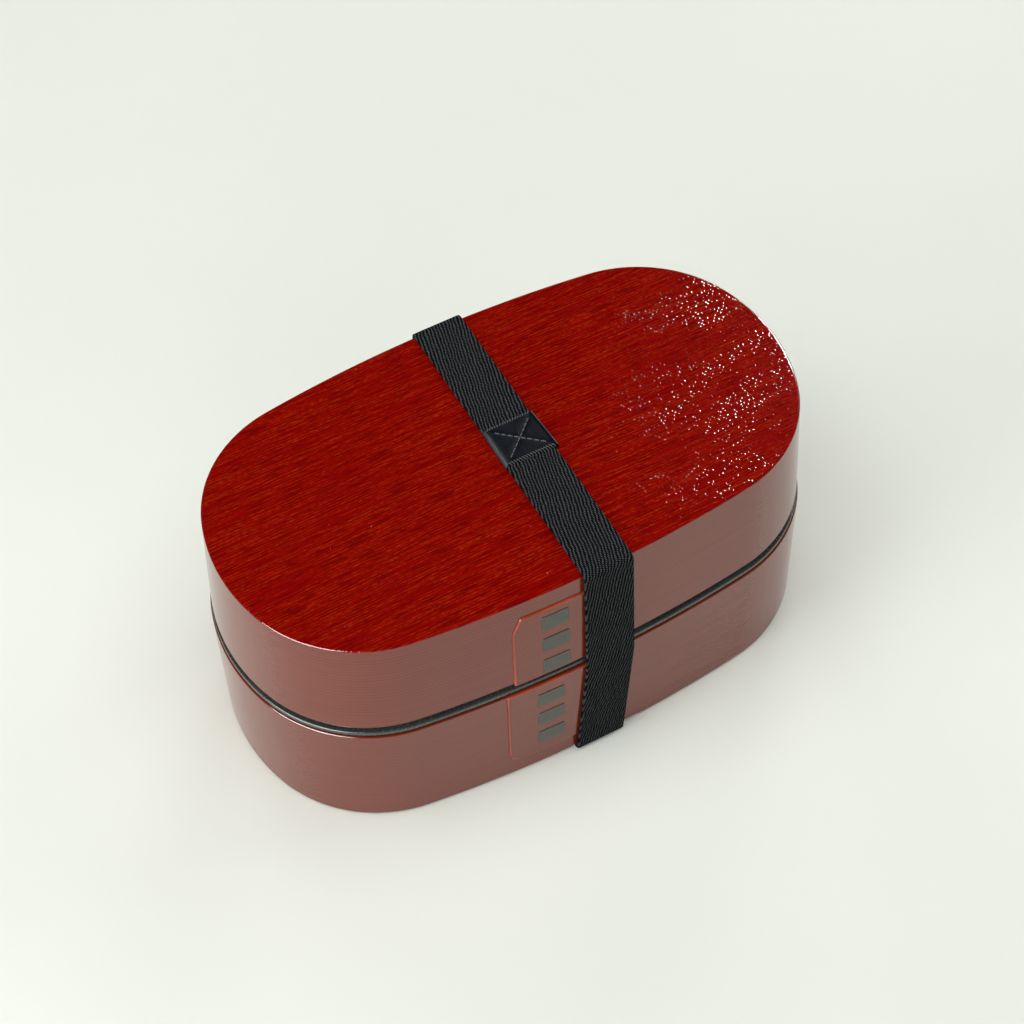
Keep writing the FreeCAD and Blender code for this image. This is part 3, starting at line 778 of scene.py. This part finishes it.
def build_outer_lid(sizes, looks):
    """The deep outer lid and its overlap panel."""
    oval = Oval(sizes)
    offset = lid_offset(sizes)
    top, low = LID_HIGH.z, LID_LOW.z
    ceiling = top - sizes.wall
    hub = -8 * MM
    profile = [
        (hub, ceiling, 0, 2),
        (offset(ceiling) - sizes.wall, ceiling, 0.6 * MM, 2),
        (offset(low) - sizes.wall, low, 0.45 * MM, 1),
        (offset(low), low, 0.55 * MM, 1),
        (offset(top), top, sizes.top_round, 0),
        (hub, top, 0, 0),
    ]
    finish = [
        made("Lacquer top", lacquer_top, looks),
        made("Lacquer wall", lacquer_wall, looks),
        made("Black inside", plain_plastic, looks.container, 0.3, 0.42, GRIT),
    ]
    add_piece("outer_lid_shell", swept("outer_lid_shell", oval, profile), finish, "outer_lid",
              ["outer_lid"])
    foot = low - 0.5 * MM
    head = top - 7.0 * MM
    outline = [
        (-24.5 * MM, foot, 0.5 * MM),
        (sizes.panel_end, foot, PANEL_BREAK),
        (sizes.panel_end, head, PANEL_BREAK),
        (-21.7 * MM, head, 0.9 * MM),
        (-24.3 * MM, head - 6.1 * MM, 2.5 * MM),
    ]
    # The panel's upright and rounded edges take the painted highlight material.
    panel = [finish[1], made("Worn edge", painted_edge_highlight, looks)]
    mesh = front_plate("outer_lid_panel", oval, [outline], offset, PANEL_ROOT, sizes.panel_lift, 0.5 * MM, 1)
    even_shading(add_piece("outer_lid_panel", mesh, panel, "outer_lid"))


def build_lower_box(sizes, looks):
    """The lower container on its foot ring, and its overlap panel."""
    oval = Oval(sizes)
    offset = lower_offset(sizes)
    top = LOWER_HIGH.z
    rise = sizes.foot_height
    floor = rise + sizes.wall
    middle = (BELT_LOW.x + BELT_HIGH.x) / 2
    ramp = 1.2 * MM
    hub = -12 * MM
    ring = offset(0) - sizes.base_round - sizes.foot_width

    def notched(place):
        """Lifts the foot ring over the belt."""
        reach = (sizes.notch / 2 + ramp / 2 - abs(place.x - middle)) / ramp
        share = min(1.0, max(0.0, reach))
        return Vector((place.x, place.y, max(place.z, rise * share)))

    profile = [
        (hub, rise, 0, 0),
        (ring, rise, 0.3 * MM, 0),
        (ring, 0, 0.4 * MM, 0),
        (offset(0), 0, sizes.base_round, 0),
        (offset(top), top, 0.5 * MM, 0),
        (offset(top) - sizes.wall, top, 0.5 * MM, 1),
        (offset(floor) - sizes.wall, floor, 3.0 * MM, 1),
        (hub, floor, 0, 1),
    ]
    finish = [
        made("Lacquer wall", lacquer_wall, looks),
        made("Black inside", plain_plastic, looks.container, 0.3, 0.42, GRIT),
    ]
    mesh = swept("lower_box_shell", oval, profile, shift=notched)
    add_piece("lower_box_shell", mesh, finish, "lower_box", ["lower_box"])
    head = top - 0.1 * MM
    foot = 7.8 * MM
    outline = [
        (-27.1 * MM, head, 0.4 * MM),
        (-26.9 * MM, foot, 4.2 * MM),
        (sizes.panel_end, foot, PANEL_BREAK),
        (sizes.panel_end, head, PANEL_BREAK),
    ]
    # The panel's upright and rounded edges take the painted highlight material.
    panel = [finish[0], made("Worn edge", painted_edge_highlight, looks)]
    mesh = front_plate("lower_box_panel", oval, [outline], offset, PANEL_ROOT, sizes.panel_lift, 0.3 * MM, 1)
    even_shading(add_piece("lower_box_panel", mesh, panel, "lower_box"))


def mark_outlines(low, high):
    """Outlines of the three bark marks on a panel, between two corners of their frame box."""
    height = 6.0 * MM
    count = 3
    pitch = (high.z - low.z - height) / (count - 1)
    outlines = []
    for i in range(count):
        z = low.z + i * pitch
        corners = ((low.x, z), (high.x, z), (high.x, z + height), (low.x, z + height))
        outlines.append([(x, level, 0.35 * MM) for x, level in corners])
    return outlines


def build_bark_marks(sizes, looks):
    """Three bark marks on each overlap panel."""
    oval = Oval(sizes)
    finish = [made("Bark marks", bark, looks)]
    back = sizes.panel_lift - 0.2 * MM
    face = sizes.panel_lift + sizes.mark_lift
    rows = (
        ("outer_lid_marks", "outer_lid", LID_MARKS_LOW, LID_MARKS_HIGH, lid_offset(sizes)),
        ("lower_box_marks", "lower_box", LOWER_MARKS_LOW, LOWER_MARKS_HIGH, lower_offset(sizes)),
    )
    for name, body, low, high, offset in rows:
        mesh = front_plate(name, oval, mark_outlines(low, high), offset, back, face, 0.15 * MM)
        even_shading(add_piece(name, mesh, finish, body, [body + "_bark_marks"]))


def plug_profile(middle, level, plug, low, seal_low, seal_high, seat):
    """Profile corners from the middle of a lid's underside, down and round its plug and up to the seat."""
    inside = plug - PLUG_WALL
    groove = plug - GROOVE_DEPTH
    return [
        (middle, level, 0, 0),
        (inside, level, 0.4 * MM, 0),
        (inside, low, 0.3 * MM, 0),
        (plug, low, 0.5 * MM, 0),
        (plug, seal_low, 0.1 * MM, 0),
        (groove, seal_low, 0.1 * MM, 0),
        (groove, seal_high, 0.1 * MM, 0),
        (plug, seal_high, 0.1 * MM, 0),
        (plug, seat, 0.2 * MM, 0),
    ]


def build_inner_lids(sizes, looks):
    """The dark lid between the tiers, whose flange shows at the seam, and the lid of the upper box."""
    oval = Oval(sizes)
    finish = [made("Inner lid plastic", plain_plastic, looks.flange, 0.22, 0.34, GRIT)]
    rim = LOWER_HIGH.z
    plug = LOWER_SEAL_HIGH.x - sizes.half_length - SEAL_PROUD
    under = rim + 0.6 * MM
    over = under + 1.5 * MM
    flange = INNER_HIGH.x - sizes.half_length
    skirt = 0.6 * MM
    step = -0.2 * MM
    tray = -5.5 * MM
    lower = plug_profile(HUB, under, plug, INNER_LOW.z, LOWER_SEAL_LOW.z, LOWER_SEAL_HIGH.z, rim) + [
        (skirt, rim, 0.15 * MM, 0),
        (skirt, under, 0.15 * MM, 0),
        (flange, under, 0.35 * MM, 0),
        (flange, over, 0.4 * MM, 0),
        (step, over, 0.2 * MM, 0),
        (step, INNER_HIGH.z, 0.3 * MM, 0),
        (tray, INNER_HIGH.z, 0.3 * MM, 0),
        (tray, INNER_HIGH.z - 1 * MM, 0.3 * MM, 0),
        (HUB, INNER_HIGH.z - 1 * MM, 0, 0),
    ]
    add_piece("lower_inner_lid_body", swept("lower_inner_lid_body", oval, lower), finish, "lower_inner_lid",
              ["lower_inner_lid"])
    rim = UPPER_HIGH.z
    edge = TOP_LID_HIGH.x - sizes.half_length
    plug = UPPER_SEAL_HIGH.x - sizes.half_length - SEAL_PROUD
    tray = edge - 4 * MM
    upper = plug_profile(HUB, rim, plug, TOP_LID_LOW.z, UPPER_SEAL_LOW.z, UPPER_SEAL_HIGH.z, rim) + [
        (edge, rim, 0.25 * MM, 0),
        (edge, TOP_LID_HIGH.z, 0.5 * MM, 0),
        (tray, TOP_LID_HIGH.z, 0.3 * MM, 0),
        (tray, TOP_LID_HIGH.z - 0.5 * MM, 0.15 * MM, 0),
        (HUB, TOP_LID_HIGH.z - 0.5 * MM, 0, 0),
    ]
    add_piece("upper_inner_lid_body", swept("upper_inner_lid_body", oval, upper), finish, "upper_inner_lid",
              ["upper_inner_lid"])


def build_gaskets(sizes, looks):
    """The soft seals in the plugs of both inner lids."""
    oval = Oval(sizes)
    finish = [made("Seal silicone", plain_plastic, looks.seal, 0.4, 0.55, GRIT)]
    rows = (
        ("lower_seal", "lower_inner_lid", "lower_lid_gasket", LOWER_SEAL_LOW, LOWER_SEAL_HIGH),
        ("upper_seal", "upper_inner_lid", "upper_lid_gasket", UPPER_SEAL_LOW, UPPER_SEAL_HIGH),
    )
    for name, body, node, low, high in rows:
        outer = high.x - sizes.half_length
        inner = outer - SEAL_PROUD - GROOVE_DEPTH
        profile = [
            (inner, low.z, 0.1 * MM, 0),
            (outer, low.z, 0.7 * MM, 0),
            (outer - 0.25 * MM, (low.z + high.z) / 2, 0.3 * MM, 0),
            (outer, high.z, 0.7 * MM, 0),
            (inner, high.z, 0.1 * MM, 0),
        ]
        add_piece(name, swept(name, oval, profile, closed=True), finish, body, [node])


def build_upper_box(sizes, looks):
    """The thin upper container, with its rim and foot ring."""
    oval = Oval(sizes)
    base = UPPER_LOW.z + 1.6 * MM
    floor = base + sizes.thin_wall
    top = UPPER_HIGH.z
    rim = UPPER_HIGH.x - sizes.half_length
    lip = top - 2.2 * MM
    foot = -11 * MM
    profile = [
        (HUB, base, 0, 0),
        (foot, base, 0.3 * MM, 0),
        (foot, UPPER_LOW.z, 0.4 * MM, 0),
        (foot + sizes.foot_width, UPPER_LOW.z, 0.4 * MM, 0),
        (foot + sizes.foot_width, base, 0.3 * MM, 0),
        (-5.2 * MM, base, 0.7 * MM, 0),
        (rim - 1.3 * MM, lip, 0.2 * MM, 0),
        (rim, lip, 0.3 * MM, 0),
        (rim, top, 0.5 * MM, 0),
        (-4.2 * MM - sizes.thin_wall, top, 0.5 * MM, 0),
        (-5.15 * MM - sizes.thin_wall, floor, 3 * MM, 0),
        (HUB, floor, 0, 0),
    ]
    finish = [made("Black container", plain_plastic, looks.container, 0.25, 0.38, GRIT)]
    mesh = swept("upper_box_shell", oval, profile)
    add_piece("upper_box_shell", mesh, finish, "upper_box", ["upper_box"])


def build_divider(sizes, looks):
    """The plate that stands across the upper box, with a foot and a finger notch."""
    low, high = DIVIDER_LOW.z, DIVIDER_HIGH.z
    reach = DIVIDER_HIGH.y
    foot = reach - 4 * MM
    x = (DIVIDER_LOW.x + DIVIDER_HIGH.x) / 2
    thick = 1.2 * MM
    corners = [
        (-foot, low, 0.5 * MM, 0),
        (foot, low, 0.5 * MM, 0),
        (reach - 1.2 * MM, low + 4 * MM, 2 * MM, 0),
        (reach, high, 2 * MM, 0),
        (10 * MM, high, 2 * MM, 0),
        (8 * MM, high - 3 * MM, 2 * MM, 0),
        (-8 * MM, high - 3 * MM, 2 * MM, 0),
        (-10 * MM, high, 2 * MM, 0),
        (-reach, high, 2 * MM, 0),
        (1.2 * MM - reach, low + 4 * MM, 2 * MM, 0),
    ]
    shape = bmesh.new()
    path = rounded_path(corners, sizes.corner_steps, True)
    shape.faces.new([shape.verts.new((x - thick / 2, spot.x, spot.y)) for spot, _, _ in path])
    pushed = bmesh.ops.extrude_face_region(shape, geom=shape.faces[:])["geom"]
    bmesh.ops.translate(shape, verts=[v for v in pushed if isinstance(v, bmesh.types.BMVert)],
                        vec=(thick, 0, 0))
    block = bmesh.ops.create_cube(shape, size=1.0)["verts"]
    width = DIVIDER_HIGH.x - DIVIDER_LOW.x
    bmesh.ops.scale(shape, verts=block, vec=(width, 2 * foot, thick))
    bmesh.ops.translate(shape, verts=block, vec=(x, 0, low + thick / 2))
    bmesh.ops.recalc_face_normals(shape, faces=shape.faces[:])
    mesh = bpy.data.meshes.new("divider_plate")
    shape.to_mesh(mesh)
    shape.free()
    finish = [made("Black container", plain_plastic, looks.container, 0.25, 0.38, GRIT)]
    piece = add_piece("divider_plate", mesh, finish, "upper_divider", ["upper_divider"])
    soften = piece.modifiers.new("Soft edges", "BEVEL")
    soften.width = 0.3 * MM
    soften.segments = 3
    soften.limit_method = "ANGLE"
    even_shading(piece)


def belt_centre(y, z):
    """The x of the belt's middle at a point of its loop: it leans a little on the front."""
    if y < BELT_LOW.y / 2:
        share = z / LOWER_HIGH.z
        return (2.0 + 2.9 * share) * MM if share < 1 else (4.9 + 0.4 * (share - 1)) * MM
    share = (BELT_HIGH.y - y) / (BELT_HIGH.y - BELT_LOW.y)
    if z > LOWER_HIGH.z:
        return (4.4 + 0.9 * share) * MM
    return (4.6 - 2.6 * share) * MM


def build_belt(belt, looks):
    """The flat elastic loop round both tiers."""
    steps = 6
    bow = 8 * MM
    radius = belt.bend + belt.thickness
    high = BELT_HIGH.z
    low = BELT_LOW.z
    rim = LOWER_HIGH.z
    front = BELT_LOW.y + 0.6 * MM
    back = BELT_HIGH.y - 0.6 * MM
    loop = [
        (back - 1.6 * MM, high, radius, 0),
        (front + 1.6 * MM, high, radius, 0),
        (BELT_LOW.y, rim, bow, 0),
        (front, low, radius, 0),
        (back, low, radius, 0),
        (BELT_HIGH.y, rim, bow, 0),
    ]
    path = rounded_path(loop, steps, True)
    edge = 0.45 * MM
    half = belt.width / 2
    section = rounded_path([(-half, 0, edge, 0), (half, 0, edge, 0), (half, -belt.thickness, edge, 0),
                            (-half, -belt.thickness, edge, 0)], 4, True)
    verts, normals, places = [], [], []
    run = 0.0
    total = len(path)
    count = len(section)
    for i, (spot, out, _) in enumerate(path):
        run += (spot - path[i - 1][0]).length if i else 0.0
        centre = belt_centre(spot.x, spot.y)
        for cut, facing, _ in section:
            verts.append(Vector((centre + cut.x, spot.x + out.x * cut.y, spot.y + out.y * cut.y)))
            normals.append(Vector((-facing.x, -out.x * facing.y, -out.y * facing.y)).normalized())
            places.append((cut.x, run))
    run += (path[0][0] - path[-1][0]).length
    faces, marks = [], []
    for i in range(total):
        nxt = (i + 1) % total
        for j in range(count):
            k = (j + 1) % count
            faces.append((i * count + j, nxt * count + j, nxt * count + k, i * count + k))
            ahead = run if nxt == 0 else places[nxt * count][1]
            here = places[i * count][1]
            left, right = places[j][0], places[k][0]
            marks += [(left, here), (left, ahead), (right, ahead), (right, here)]
    mesh = mesh_of("belt_elastic", verts, faces, normals, places=marks)
    finish = [made("Ribbed elastic", elastic, looks)]
    add_piece("belt_elastic", mesh, finish, "belt", ["belt_band"])


def patch_corner(across, along):
    """Point of the patch's outline: across and along run from -1 to 1; it widens towards the front."""
    middle = (PATCH_LOW + PATCH_HIGH) / 2
    y = middle.y - (PATCH_HIGH.y - PATCH_LOW.y) / 2 * along
    half = (PATCH_HIGH.x - PATCH_LOW.x) / 2 + (0.25 * along - 0.3) * MM
    return Vector((middle.x + 0.2 * MM * along + half * across, y, LID_HIGH.z))


SEAMS = (
    ((-0.84, -0.86), (0.84, 0.86)),
    ((0.84, -0.86), (-0.84, 0.86)),
)


def patch_height(belt, across, along):
    """Height of the patch's upper face over the lid: drawn in along the seams, rolled at the sides."""
    depth = 0.0
    for (a0, b0), (a1, b1) in SEAMS:
        line = Vector((a1 - a0, b1 - b0))
        point = Vector((across - a0, along - b0))
        share = min(1.0, max(0.0, point.dot(line) / line.length_squared))
        gap = (point - line * share).length * belt.width / 2
        depth = max(depth, math.exp(-(gap / (0.7 * MM)) ** 2))
    dome = 0.15 * (1 - across**2) * (1 - along**2)
    roll = math.exp(-((abs(across) - 0.93) / 0.05) ** 2)
    return belt.patch_height + (dome + 0.3 * roll - 0.16 * depth) * MM


def build_patch(belt, looks):
    """The leather patch, folded round the belt's edges."""
    columns, rows = 64, 48
    verts, faces, parts = [], [], []
    fold = belt.patch_round
    width = columns + 4
    for j in range(rows + 1):
        along = 2 * j / rows - 1
        ends = min(1.0, (1 - abs(along)) * 16)
        drop = fold * 0.5 * (1 - math.sqrt(1 - (1 - ends) ** 2))
        half = (patch_corner(1, along) - patch_corner(0, along)).x
        for k in range(columns + 1):
            across = math.sin(math.pi / 2 * (2 * k / columns - 1))
            flat = max(0.0, abs(across) * half - (half - fold)) / fold
            lift = patch_height(belt, across, along) - drop - fold * (1 - math.sqrt(1 - flat**2))
            verts.append(patch_corner(across, along) + Vector((0, 0, lift)))
        for across in (1.0, 0.0, -1.0):
            verts.append(patch_corner(across, along) + Vector((0, 0, 0.05 * MM)))
    for j in range(rows):
        for k in range(width):
            m = (k + 1) % width
            faces.append((j * width + k, j * width + m, (j + 1) * width + m, (j + 1) * width + k))
            across = math.sin(math.pi / 2 * min(1.0, 2 * (k + 0.5) / columns - 1))
            parts.append(1 if abs(across) > 0.92 else 0)
    faces.append(list(range(width))[::-1])
    faces.append(list(range(rows * width, (rows + 1) * width)))
    parts += [0, 0]
    finish = [
        made("Patch leather", leather, looks.patch),
        made("Patch edge", leather, looks.patch_edge),
    ]
    mesh = mesh_of("belt_patch_leather", verts, faces, parts=parts)
    solid = bmesh.new()
    solid.from_mesh(mesh)
    bmesh.ops.recalc_face_normals(solid, faces=solid.faces[:])
    solid.to_mesh(mesh)
    solid.free()
    even_shading(add_piece("belt_patch_leather", mesh, finish, "belt", ["belt_patch"]))


def build_stitches(belt, looks):
    """The thread on the patch: a cross seam, and a fine zigzag over both ends."""
    verts, faces = [], []

    def surface(across, along):
        return patch_corner(across, along) + Vector((0, 0, patch_height(belt, across, along)))

    def lay(points, radius):
        """Adds one stitch through the points."""
        more, sides = tube(points, radius)
        faces.extend([v + len(verts) for v in face] for face in sides)
        verts.extend(more)

    pitch = belt.stitch_length + belt.stitch_gap
    for (a0, b0), (a1, b1) in SEAMS:
        span = (surface(a1, b1) - surface(a0, b0)).length
        count = 2 * int((span + belt.stitch_gap) / (2 * pitch))
        start = (span - count * pitch + belt.stitch_gap) / 2
        for i in range(count):
            points = []
            for k in range(7):
                share = (start + i * pitch + belt.stitch_length * k / 6) / span
                rise = math.sin(math.pi * k / 6) * 0.2 * MM - 0.08 * MM
                spot = surface(a0 + (a1 - a0) * share, b0 + (b1 - b0) * share)
                points.append(spot + Vector((0, 0, rise)))
            lay(points, belt.thread_radius)
    teeth = 17
    for end in (-1, 1):
        for i in range(teeth):
            left = -0.88 + 1.76 * i / teeth
            points = []
            for k in range(7):
                share = k / 6
                across = left + share * 1.5 / teeth
                along = end * (0.9 + 0.13 * share)
                drop = 0.9 * MM * max(0.0, (abs(along) - 0.96) / 0.07) ** 2
                place = surface(across, max(-1.0, min(along, 1.0)))
                points.append(place + Vector((0, -end * 0.15 * MM * share, 0.03 * MM - drop)))
            lay(points, belt.thread_radius * 0.7)
    finish = [made("Sewing thread", thread_cotton, looks)]
    mesh = mesh_of("belt_patch_stitches", verts, faces)
    add_piece("belt_patch_stitches", mesh, finish, "belt", ["belt_patch_thread"])


# ---------------------------------------------------------------- stage

ON_MATT = (True, False)    # lights the colours of surfaces, and isn't mirrored in them
ON_GLOSS = (False, True)   # only shows as a highlight on glossy surfaces

# name, place, size across, power, what it shines on
LAMPS = (
    ("overhead_lamp", (-0.1, -0.2, 1.5), 1.6, 13.74, ON_MATT),
    ("left_high_lamp", (-0.5, 0.1, 1.0), 0.7, 2.03, ON_MATT),
    ("left_lamp", (-1.2, 0.0, 0.6), 0.9, 3.98, ON_MATT),
    ("front_lamp", (0.0, -1.2, 0.8), 0.9, 1.7, ON_MATT),
    ("front_left_lamp", (-0.6, -1.0, 0.35), 0.6, 2.24, ON_MATT),
    ("front_right_lamp", (0.5, -1.0, 0.35), 0.6, 1.2, ON_MATT),
    ("right_lamp", (1.2, 0.0, 0.7), 0.9, 5.42, ON_MATT),
    ("back_right_lamp", (0.75, 0.85, 0.7), 0.5, 2.64, ON_MATT),
    ("back_lamp", (0.0, 1.4, 0.4), 0.7, 4.22, ON_MATT),
    ("near_left_lamp", (-0.62, -0.12, 0.16), 0.3, 1.3, ON_MATT),
    ("rim_lamp", (-1.06, -0.39, 0.40), 1.1, 60.0, ON_GLOSS),
    ("glint_lamp", (0.44, 0.31, 0.50), 0.10, 5.0, ON_GLOSS),
)


def round_lamp(name, place, size, power, shines):
    """Round lamp at place, turned to the middle of the box; shines is ON_MATT or ON_GLOSS."""
    lamp = bpy.data.lights.new(name, "AREA")
    lamp.shape = "DISK"
    lamp.size = size
    lamp.energy = power
    thing = bpy.data.objects.new(name, lamp)
    bpy.context.scene.collection.objects.link(thing)
    thing.visible_diffuse, thing.visible_glossy = shines
    thing.location = place
    thing.rotation_euler = (-Vector(place)).to_track_quat("-Z", "Y").to_euler()
    return thing


def build_stage(look):
    """Pale floor, soft lamps, two lamps for glints, a dim room and the camera."""
    scene = bpy.context.scene
    size = 4.0
    floor_mesh = bpy.data.meshes.new("floor_sheet")
    corners = [(-size, -size, 0), (size, -size, 0), (size, size, 0), (-size, size, 0)]
    floor_mesh.from_pydata(corners, [], [(0, 1, 2, 3)])
    floor_mesh.materials.append(made("Floor paper", paper, look))
    floor = bpy.data.objects.new("floor_sheet", floor_mesh)
    scene.collection.objects.link(floor)
    lamps = [round_lamp(*lamp) for lamp in LAMPS]
    world = bpy.data.worlds.new("Room")
    world.use_nodes = True
    scene.world = world
    world.node_tree.nodes["Background"].inputs["Strength"].default_value = look.room
    world.node_tree.nodes["Background"].inputs["Color"].default_value = (1.0, 1.0, 1.0, 1.0)
    lens = bpy.data.cameras.new("camera")
    lens.lens = look.lens
    lens.sensor_width = 36.0
    camera = bpy.data.objects.new("camera", lens)
    scene.collection.objects.link(camera)
    turn = (Vector(look.aim) - Vector(look.eye)).to_track_quat("-Z", "Y").to_matrix().to_4x4()
    camera.matrix_world = Matrix.Translation(look.eye) @ turn @ Matrix.Rotation(look.roll, 4, "Z")
    scene.camera = camera
    scene.view_settings.view_transform = "Standard"


# ---------------------------------------------------------------- operators

class BuildOperator:
    """Shared settings of the operators that build a piece."""

    bl_options = {"REGISTER", "UNDO"}

    def execute(self, context):
        scene = context.scene
        self.build(scene.lunch_shells, scene.lunch_belt, scene.lunch_finishes, scene.lunch_stage)
        return {"FINISHED"}


class LUNCH_OT_outer_lid(BuildOperator, bpy.types.Operator):
    """Build the outer lid and its overlap panel"""

    bl_idname = "lunch.outer_lid"
    bl_label = "Outer Lid"

    def build(self, shells, belt, looks, stage):
        build_outer_lid(shells, looks)


class LUNCH_OT_lower_box(BuildOperator, bpy.types.Operator):
    """Build the lower box and its overlap panel"""

    bl_idname = "lunch.lower_box"
    bl_label = "Lower Box"

    def build(self, shells, belt, looks, stage):
        build_lower_box(shells, looks)


class LUNCH_OT_bark_marks(BuildOperator, bpy.types.Operator):
    """Build the bark marks on both panels"""

    bl_idname = "lunch.bark_marks"
    bl_label = "Bark Marks"

    def build(self, shells, belt, looks, stage):
        build_bark_marks(shells, looks)


class LUNCH_OT_inner_lids(BuildOperator, bpy.types.Operator):
    """Build both inner lids"""

    bl_idname = "lunch.inner_lids"
    bl_label = "Inner Lids"

    def build(self, shells, belt, looks, stage):
        build_inner_lids(shells, looks)


class LUNCH_OT_gaskets(BuildOperator, bpy.types.Operator):
    """Build the seals of the inner lids"""

    bl_idname = "lunch.gaskets"
    bl_label = "Gaskets"

    def build(self, shells, belt, looks, stage):
        build_gaskets(shells, looks)


class LUNCH_OT_upper_box(BuildOperator, bpy.types.Operator):
    """Build the upper container"""

    bl_idname = "lunch.upper_box"
    bl_label = "Upper Box"

    def build(self, shells, belt, looks, stage):
        build_upper_box(shells, looks)


class LUNCH_OT_divider(BuildOperator, bpy.types.Operator):
    """Build the divider of the upper box"""

    bl_idname = "lunch.divider"
    bl_label = "Divider"

    def build(self, shells, belt, looks, stage):
        build_divider(shells, looks)


class LUNCH_OT_belt(BuildOperator, bpy.types.Operator):
    """Build the elastic belt"""

    bl_idname = "lunch.belt"
    bl_label = "Belt"

    def build(self, shells, belt, looks, stage):
        build_belt(belt, looks)


class LUNCH_OT_patch(BuildOperator, bpy.types.Operator):
    """Build the patch on the belt"""

    bl_idname = "lunch.patch"
    bl_label = "Patch"

    def build(self, shells, belt, looks, stage):
        build_patch(belt, looks)


class LUNCH_OT_stitches(BuildOperator, bpy.types.Operator):
    """Build the stitches on the patch"""

    bl_idname = "lunch.stitches"
    bl_label = "Stitches"

    def build(self, shells, belt, looks, stage):
        build_stitches(belt, looks)


class LUNCH_OT_stage(BuildOperator, bpy.types.Operator):
    """Build the floor, the lamps and the camera"""

    bl_idname = "lunch.stage"
    bl_label = "Stage"

    def build(self, shells, belt, looks, stage):
        build_stage(stage)


BUILDERS = (
    LUNCH_OT_outer_lid,
    LUNCH_OT_lower_box,
    LUNCH_OT_bark_marks,
    LUNCH_OT_inner_lids,
    LUNCH_OT_gaskets,
    LUNCH_OT_upper_box,
    LUNCH_OT_divider,
    LUNCH_OT_belt,
    LUNCH_OT_patch,
    LUNCH_OT_stitches,
    LUNCH_OT_stage,
)


class LUNCH_PT_sidebar(bpy.types.Panel):
    """Lists the builders of the lunch box"""

    bl_idname = "LUNCH_PT_sidebar"
    bl_label = "Lunch Box"
    bl_space_type = "VIEW_3D"
    bl_region_type = "UI"
    bl_category = "Lunch Box"

    def draw(self, context):
        for builder in BUILDERS:
            self.layout.operator(builder.bl_idname)


CLASSES = (ShellSizes, BeltSizes, Finishes, StageLook, *BUILDERS, LUNCH_PT_sidebar)


def register():
    """Registers the classes and the settings on the scene."""
    for cls in CLASSES:
        bpy.utils.register_class(cls)
    bpy.types.Scene.lunch_shells = PointerProperty(type=ShellSizes)
    bpy.types.Scene.lunch_belt = PointerProperty(type=BeltSizes)
    bpy.types.Scene.lunch_finishes = PointerProperty(type=Finishes)
    bpy.types.Scene.lunch_stage = PointerProperty(type=StageLook)


def unregister():
    """Removes the settings and the classes."""
    for name in ("lunch_stage", "lunch_finishes", "lunch_belt", "lunch_shells"):
        delattr(bpy.types.Scene, name)
    for cls in reversed(CLASSES):
        bpy.utils.unregister_class(cls)


def main():
    """Builds every piece and the stage."""
    register()
    for builder in BUILDERS:
        space, name = builder.bl_idname.split(".")
        getattr(getattr(bpy.ops, space), name)()


if __name__ == "__main__":
    main()
